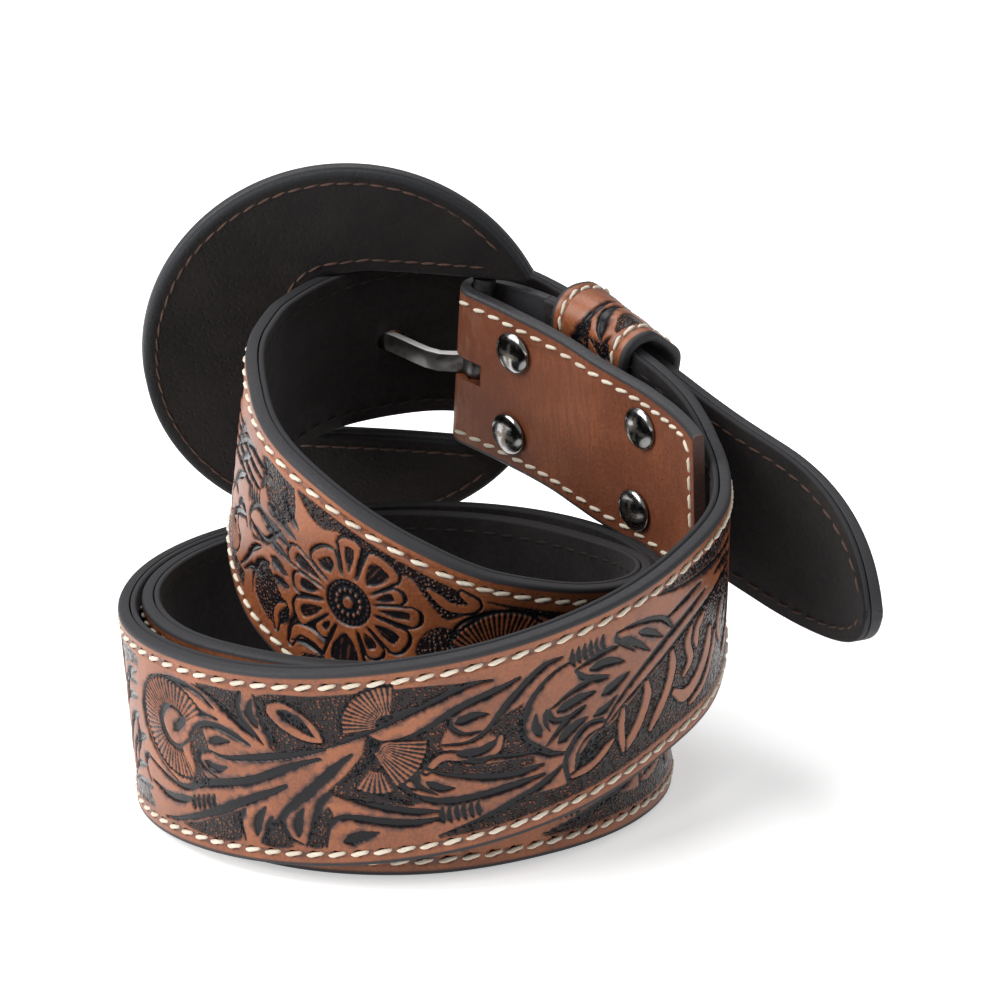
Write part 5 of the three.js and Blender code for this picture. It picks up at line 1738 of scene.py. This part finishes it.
@dataclass
class Keeper:
    """The loop round the main strap and the tip."""

    strap: Strap
    width: float = 22.6
    wall: float = 2.0
    corner: float = 5.5
    fit: float = 0.6
    slack: float = 2.4
    rise: float = 2.2
    bearing: float = 55.2
    ring_points: int = 360
    columns: int = 84
    ease: float = 0.6
    stitch_inset: float = 3.0
    stitch_every: int = 12
    round_length: float = 103.0

    def tip_behind(self, frames: Frames) -> tuple[Array, Array]:
        """How far out of the main strap, and how far across it, the tip lies."""
        strap = self.strap
        begin = strap.total - strap.tip_length
        tip = strap.main.at(np.arange(begin - strap.tip_straight, begin, 0.5)).point
        away = tip[None] - frames.point[:, None]
        miss = np.abs(np.sum(away * frames.along[:, None], axis=-1))
        best = away[np.arange(len(away)), np.argmin(miss, axis=1)]
        return np.sum(best * frames.out, axis=-1), np.sum(best * frames.side, axis=-1)

    def ring(self, depth_behind: float, drop: float, grow: float) -> Array:
        """One section of the band, as evenly spaced places across and out.

        Args:
            depth_behind, drop: How far out and across the tip lies.
            grow: How far the section lies outside the band's inner face.
        """
        grain, thick = self.strap.grain, self.strap.thick
        near = -grain - self.fit
        far = depth_behind + grain + self.slack
        radius = self.corner - self.wall + grow
        depth = (far - near) / 2 + grow - radius
        height = self.strap.end_width / 2 + self.rise + grow - radius
        turn = np.radians(np.arange(0.0, 361.0, 6.0) % 360.0 + 3.0)
        t = (near + far) / 2 + np.sign(np.cos(turn)) * depth + radius * np.cos(turn)
        v = np.sign(np.sin(turn)) * height + radius * np.sin(turn)
        loop = np.stack((v, t), axis=-1)
        along = lengths(loop)
        places = np.linspace(0, along[-1], self.ring_points, endpoint=False)
        v, t = between(places, along, loop).T
        share = np.where(v < 0, (t - grain) / (depth_behind - thick), (t - grain) / (far - grain))
        return np.stack((v + drop * smooth(share), t), axis=-1)

    def relief(self, offsets: Array) -> Relief:
        """The band's tooling, on places round it and offsets along the belt."""
        relief = Relief(np.linspace(0.0, self.round_length, self.ring_points), offsets)
        for shift in np.arange(-1, 4) * 30.0:
            for ground in KEEPER_GROUNDS:
                relief.field(pairs(ground) + (shift, 0))
            for width, *points in KEEPER_CUTS:
                relief.cut(width, pairs(points) + (shift, 0))
        relief.channel(self.width / 2 - np.abs(offsets) - self.stitch_inset, 0.8)
        return relief

    def build(self, finishes: Finishes) -> Object:
        """Builds the band, its lined inside black."""
        flat = self.width / 2 - self.ease
        turn = np.radians((30, 60, 90))
        edge = flat + self.ease * np.sin(turn)
        drops = self.ease * (1 - np.cos(turn))
        offsets = np.linspace(-flat, flat, self.columns)
        grows = self.wall - np.concatenate((drops[::-1], np.zeros(self.columns), drops, [2.0] * 5))
        places = np.concatenate((-edge[::-1], offsets, edge,
                                 np.array((1.0, 0.5, 0.0, -0.5, -1.0)) * self.width / 2))
        rings = self.rings(places, grows)
        relief = self.relief(offsets)
        face = slice(3, 3 + self.columns)
        outward = (rings[face] - self.rings(offsets, grows[face] - 0.4)) / 0.4
        rings[face] += relief.height.T[..., None] * outward
        values = {key: np.zeros(rings.shape[:2]) for key in ("edge", "antique", "ground")}
        values["edge"][:] = 1.0
        values["edge"][face] = smooth((np.abs(offsets) / flat - 0.94) / 0.04)[:, None]
        values["antique"][face] = relief.paste.T
        values["ground"][face] = relief.ground.T
        made = shell(rings, closed=True, values=values).to_object("keeper_band", finishes.tooled)
        return report(made, Slot.TOOLED, "keeper")

    def seams(self) -> tuple[Array, Array, Array]:
        """Stitch places near both edges of the band."""
        places = np.array((-1.0, 1.0)) * (self.width / 2 - self.stitch_inset)
        lines = self.rings(places, np.full(2, self.wall - 0.15))
        under = self.rings(places, np.full(2, self.wall - 0.6))
        along = unit(np.roll(lines, -2, axis=1) - np.roll(lines, 2, axis=1))
        step = self.stitch_every
        return tuple(x[:, ::step].reshape(-1, 3) for x in (lines, along, unit(lines - under)))

    def rings(self, offsets: Array, grows: Array) -> Array:
        """The band's sections at offsets along the belt from its middle, as points."""
        frames = self.strap.main.at(self.strap.bearing_run(self.bearing) + offsets)
        depth, drop = self.tip_behind(frames)
        rows = []
        for i in range(len(grows)):
            v, t = self.ring(depth[i], drop[i], grows[i]).T
            rows.append(frames.point[i] + v[:, None] * frames.side[i] + t[:, None] * frames.out[i])
        return np.stack(rows)


@dataclass
class Hardware:
    """The heel bar, the prong, and the screws with their posts."""

    strap: Strap
    buckle: Buckle
    head: float = 9.4
    dome: float = 1.9
    shank: float = 3.4
    seat: float = 0.3
    post_head: float = 8.4
    post_thick: float = 1.0
    post_reach: float = 5.0
    spread: float = 20.0
    runs: tuple[float, ...] = (14.0, 52.8)
    bevel: float = 0.22
    corner_angle: float = 40.0
    sharp_angle: float = 42.0

    def from_cad(self, node: Object, name: str, material: Material) -> Object:
        """A copy of a solid with its corners eased.

        Args:
            node: The solid.
            name: The copy's name.
            material: Its finish.

        Returns:
            The copy.
        """
        made = in_scene(name, node.data.copy())
        made.modifiers.new("weld", "WELD").merge_threshold = 1e-6
        ease = made.modifiers.new("ease", "BEVEL")
        ease.width, ease.segments = self.bevel * MM, 2
        ease.limit_method, ease.angle_limit = "ANGLE", math.radians(self.corner_angle)
        apply_modifiers(made)
        made.data.materials.clear()
        made.data.materials.append(material)
        made.data.shade_smooth()
        made.data.set_sharp_from_angle(angle=math.radians(self.sharp_angle))
        return report(made, Slot.STEEL, node.name)

    def face_point(self, start: Array, axis: Array) -> tuple[Array, float, tuple[Array, Array]]:
        """Where a line meets the strap's tooled face, how far on, and along and out there."""
        frames = self.strap.main.at(np.arange(0.0, 2 * self.strap.billet_end, 0.2))
        face = frames.point + frames.out * self.strap.grain
        reach = np.sum((face - start) * frames.out, axis=1) / (frames.out @ axis)
        points = start + reach[:, None] * axis
        miss = np.abs(np.sum((points - frames.point) * frames.along, axis=1))
        best = int(np.argmin(miss))
        return points[best], float(reach[best]), (frames.along[best], frames.out[best])

    def build(self, nodes: dict[str, Object], finishes: Finishes) -> None:
        """Builds the metal pieces."""
        # The heel bar takes the near-black steel, painted shade where it lies in shadow
        self.from_cad(nodes["buckle_bar"], "heel_bar", finishes.dulled)
        self.from_cad(nodes["prong"], "steel_prong", finishes.steel)
        heads, caps, rods = [], [], []
        for run in self.runs:
            frame = self.strap.flap.at(run)
            out, along = frame.out[0], frame.along[0]
            for across in (self.spread / 2, -self.spread / 2):
                face = frame.place(across, -self.strap.leather / 2)[0, 0]
                point, reach, met = self.face_point(face, out)
                heads.append((face, along, -out))
                caps.append((point, *met))
                middle = reach - self.post_reach
                radius = self.shank / 2
                for low, high in ((-self.seat - self.dome / 2, middle - self.strap.glue_gap),
                                  (middle, reach + self.seat + self.post_thick / 2)):
                    rods.append(revolve(((0.01, low), (radius, low), (radius, high), (0.01, high)),
                                        20, face, out, along))
        for name, profile, places, node in (
                ("screw_heads", self._head_profile(), heads, "screw_"),
                ("screw_post_caps", self._cap_profile(), caps, "screw_post_")):
            shape = revolve(profile, 40, -COIL_AXIS, UP, np.array((1.0, 0.0, 0.0)))
            template = shape.to_object(name + "_one", finishes.screw)
            frames = tuple(np.array(column) for column in zip(*places))
            made = CopyTree(template, finishes.screw).on(name, frames)
            bpy.data.objects.remove(template)
            report(made, Slot.SCREW, *(node + str(i + 1) for i in range(len(places))))
        report(merged(rods).to_object("screw_shanks", finishes.steel), Slot.SCREW)

    def _head_profile(self) -> list[tuple[float, float]]:
        """Radius and height of the domed head."""
        radius = self.head / 2
        rows = [(0.01, self.seat), (radius * 0.96, self.seat)]
        for angle in np.linspace(0, 88, 14):
            a = math.radians(angle)
            rows.append((radius * math.cos(a), self.seat + self.dome * (0.2 + 0.8 * math.sin(a))))
        return rows

    def _cap_profile(self) -> list[tuple[float, float]]:
        """Radius and height of a post's flat cap."""
        radius, top = self.post_head / 2, self.seat + self.post_thick
        return [(0.01, self.seat), (radius, self.seat), (radius, top - 0.35),
                (radius - 0.1, top - 0.12), (radius - 0.35, top), (radius * 0.5, top + 0.04),
                (0.01, top + 0.05)]


@dataclass
class Stitching:
    """All the seams: cream thread on the tooled side, brown thread on the black side."""

    strap: Strap
    buckle: Buckle
    keeper: Keeper
    tooling: Tooling
    flap_pitch: float = 4.2
    buckle_pitch: float = 3.6
    buckle_inset: float = 2.8
    window_inset: float = 2.8
    slant: float = 0.19
    brown_slant: float = 0.07
    wobble: float = 0.05
    probe: float = 0.4
    point_length: float = 50.0
    flap_start: float = -3.2
    bend: float = 5.0
    tip_seam: float = 120.0

    def template(self, name: str, length: float, width: float, height: float, sides: int,
                 rings: int, material: Material) -> Object:
        """One stitch of two-ply thread about the origin, its length along x.

        Args:
            name: The object's name.
            length, width, height: Its size.
            sides, rings: Points round it, and rings along it.
            material: Its finish.
        """
        place = np.linspace(-1.0, 1.0, rings)
        turn = np.arange(sides) / sides * 2 * math.pi
        round_off = np.clip(1 - np.abs(place) ** 6, 0.16, 1)[:, None] ** 0.5
        ply = 1 + 0.13 * np.cos(2 * turn[None, :] - 2.6 * place[:, None] * length / 2)
        y = width / 2 * round_off * ply * np.cos(turn)
        z = height * (round_off * ply * np.sin(turn) - 0.5 * np.abs(place[:, None]) ** 2.5) / 1.6
        x = np.broadcast_to(place[:, None] * length / 2, y.shape)
        points = np.stack((x, y, z), axis=-1) - COIL_AXIS
        return shell(points).to_object(name, material)

    def edge_path(self, run_from: float, inset: float) -> tuple[Array, Array]:
        """A seam's runs and places across, round the strap's outline to the tip's point."""
        total, point = self.strap.total, self.point_length
        runs = np.concatenate((np.arange(run_from, total - point, 2.0),
                               total - point * (1 - np.linspace(0, 1, 260)) ** 2))
        width = self.strap.main.at(runs).width
        half = self.strap.tip_half(runs, width / 2)
        line = np.stack((runs, half), axis=-1)
        tangent = unit(np.gradient(line, axis=0))
        line = line + inset * np.stack((tangent[:, 1], -tangent[:, 0]), axis=-1)
        line = line[line[:, 1] > 0.3]
        return line[:, 0], line[:, 1]

    def on_strip(self, frames: Frames, run: Array, across: Array, up: float, pitch: float,
                 flip: float = 1.0) -> Places:
        """Stitch places along a path on a strip.

        Args:
            frames: The strip.
            run: The path's runs.
            across: Its places across.
            up: Its height over the strip's points.
            pitch: Distance between stitches.
            flip: 1 where the seam faces out, -1 where it faces in.

        Returns:
            Points, and unit directions along the seam and out of it.
        """
        length = lengths(np.stack((run, across), axis=-1))
        places = np.arange(pitch / 2, length[-1], pitch)

        def spot(distance: Array) -> tuple[Array, Array]:
            """The points at distances along the path, and the strip's way out there."""
            there = frames.at(np.interp(distance, length, run))
            side = np.interp(distance, length, across)
            return there.point + side[:, None] * there.side + up * there.out, there.out

        point, out = spot(places)
        ahead, _ = spot(np.minimum(places + self.probe, length[-1]))
        behind, _ = spot(np.maximum(places - self.probe, 0))
        return point, unit(ahead - behind), out * flip

    def strap_seams(self, up: float, flip: float, start: float, end: float = 2000.0) -> Places:
        """Both edges of the main strap, from one run to another.

        Args:
            up: Their height over the strap's middle.
            flip: 1 on the tooled side, -1 on the black one.
            start, end: The runs.
        """
        run, across = self.edge_path(start, self.tooling.stitch_inset)
        across = across[run < end]
        run = run[run < end]
        pitch = self.tooling.stitch_pitch
        seams = [self.on_strip(self.strap.main, run, across * way, up, pitch, flip)
                 for way in (1, -1)]
        return tuple(np.concatenate(x) for x in zip(*seams))

    def flap_seam(self) -> Places:
        """The seam round the flap's three edges, from a little way round the fold."""
        bent = self.strap.fold(np.linspace(3.0, 55.0, 9)).turned()
        strip = joined((bent, self.strap.flap))
        begin = self.flap_start
        end = self.strap.flap.run[-1] - self.tooling.stitch_inset
        side = self.strap.end_width / 2 - self.tooling.stitch_inset
        turn = np.radians(np.linspace(0, 90, 7))
        bend = np.stack((end - self.bend * (1 - np.sin(turn)), side - self.bend * (1 - np.cos(turn))), -1)
        corners = np.concatenate(([(begin, side)], bend, bend[::-1] * (1, -1), [(begin, -side)]))
        along = lengths(corners)
        run, across = between(np.linspace(0, along[-1], 600), along, corners).T
        return self.on_strip(strip, run, across, -self.strap.leather / 2 - 0.06,
                             self.flap_pitch, -1.0)

    def buckle_seams(self) -> Places:
        """The seam round the buckle's rim and the one round its window, on the back."""
        top = self.strap.glue_gap / 2 + self.buckle.back
        found = []
        for inside, inset in ((self.buckle.inside_rim, self.buckle_inset),
                              (self.buckle.inside_window, -self.window_inset)):
            at, direction = spaced(self.buckle.outline(inside, inset), self.buckle_pitch, 9.0)
            height = np.full(len(at), top)
            point = self.buckle.on_bow(*at.T, height)
            ahead = self.buckle.on_bow(*(at + direction * self.probe).T, height)
            over = self.buckle.on_bow(*at.T, height + 0.5)
            found.append((point, unit(ahead - point), unit(over - point)))
        return tuple(np.concatenate(x) for x in zip(*found))

    def build(self, finishes: Finishes) -> None:
        """Builds the seams, three of cream thread and three of brown."""
        grain = self.strap.grain
        split = self.strap.total - self.tip_seam
        # Stitches: length, width, height, points round and rings along
        cream = self.template("cream_stitch", 3.8, 0.92, 0.8, 8, 9, finishes.cream)
        short = self.template("flap_stitch", 3.4, 0.85, 0.75, 8, 9, finishes.cream)
        brown = self.template("brown_stitch", 3.6, 0.55, 0.5, 6, 5, finishes.brown)
        rows = (
            ("strap_seam_cream", cream, self.strap_seams(grain - 0.04, 1, 16), finishes.cream),
            ("flap_seam_cream", short, self.flap_seam(), finishes.cream),
            ("keeper_seam_cream", short, self.keeper.seams(), finishes.cream),
            # The inner face's seam takes the darker brown thread, painted shade inside the coil
            ("strap_seam_brown", brown, self.strap_seams(-grain - 0.02, -1, 16, split), finishes.soiled),
            ("tip_seam_brown", brown, self.strap_seams(-grain - 0.06, -1, split), finishes.brown),
            ("buckle_seam_brown", brown, self.buckle_seams(), finishes.brown),
        )
        for name, template, places, material in rows:
            slant = self.brown_slant if template == brown else self.slant
            made = CopyTree(template, material, slant, self.wobble).on(name, places)
            report(made, Slot.TOOLED)
        for template in (cream, short, brown):
            bpy.data.objects.remove(template)


# Stage


@dataclass(frozen=True)
class Studio:
    """The camera at the photograph's angle, the floor and the lights, in metres."""

    eye: tuple[float, float, float] = (0.0004175, -0.879546, 0.35403)
    aim: tuple[float, float, float] = (0.0004175, -0.009646, 0.06378)
    field_of_view: float = 12.77
    roll: float = -0.64
    floor_size: float = 8.0

    def build(self) -> None:
        """Makes the camera, floor, lights and world."""
        scene = bpy.context.scene
        data = bpy.data.cameras.new("camera")
        data.angle = math.radians(self.field_of_view)
        data.clip_start, data.clip_end = 0.01, 50.0
        scene.camera = self._aimed("camera", data, self.eye)
        scene.camera.rotation_euler.rotate_axis("Z", math.radians(self.roll))
        self._floor()
        # Lights: place, size and power in watts
        self._light("key", (-1.1, -0.5, 0.95), 1.2, 27.5)
        self._light("fill", (1.1, -0.7, 0.8), 1.2, 1.0)
        self._light("top", (-0.1, 0.45, 1.4), 1.0, 11.0)
        world = bpy.data.worlds.new("studio")
        world.use_nodes = True
        sky = world.node_tree.nodes["Background"].inputs
        sky[0].default_value, sky[1].default_value = (1.0, 1.0, 1.0, 1.0), 0.31
        scene.world = world
        scene.view_settings.view_transform = "Standard"

    def _floor(self) -> None:
        """A plain white floor."""
        half = self.floor_size / 2
        mesh = bpy.data.meshes.new("floor")
        mesh.from_pydata([(-half, -half, 0), (half, -half, 0), (half, half, 0), (-half, half, 0)],
                         [], [(0, 1, 2, 3)])
        tree = Tree("white paper")
        colour = tree.mix(tree.noise(400.0), (0.92, 0.92, 0.92, 1), (0.94, 0.94, 0.94, 1))
        tree.set(Base_Color=colour, Roughness=0.85,
                 Emission_Color=(1.0, 1.0, 1.0, 1.0), Emission_Strength=0.46)
        mesh.materials.append(tree.material)
        in_scene("floor", mesh)

    def _light(self, name: str, place: Sequence[float], size: float, power: float) -> None:
        """A soft square light aimed at the belt."""
        data = bpy.data.lights.new(name, "AREA")
        data.size, data.energy = size, power
        self._aimed(name, data, place)

    def _aimed(self, name: str, data: bpy.types.ID, place: Sequence[float]) -> Object:
        """A camera or light at a place, turned to the belt."""
        made = in_scene(name, data)
        made.location = place
        way = Vector(self.aim) - Vector(place)
        made.rotation_euler = way.to_track_quat("-Z", "Y").to_euler()
        return made


def write_size() -> None:
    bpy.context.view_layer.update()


def main() -> None:
    """Loads the frame, builds each sub-assembly in order and logs it."""
    logging.basicConfig(level=logging.INFO, format="%(name)s %(message)s")
    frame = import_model()
    write_size()
    finishes = Finishes()
    strap = Strap()
    Studio().build()
    buckle = Buckle(strap)
    buckle.build(finishes)
    punches = buckle.hole_tools()
    LeatherStrip(strap).build(finishes, punches)
    Lining(strap).build(finishes, punches)
    keeper = Keeper(strap)
    keeper.build(finishes)
    Stitching(strap, buckle, keeper, Tooling()).build(finishes)
    Hardware(strap, buckle).build(frame["nodes"], finishes)
    write_size()


if __name__ == "__main__":
    main()
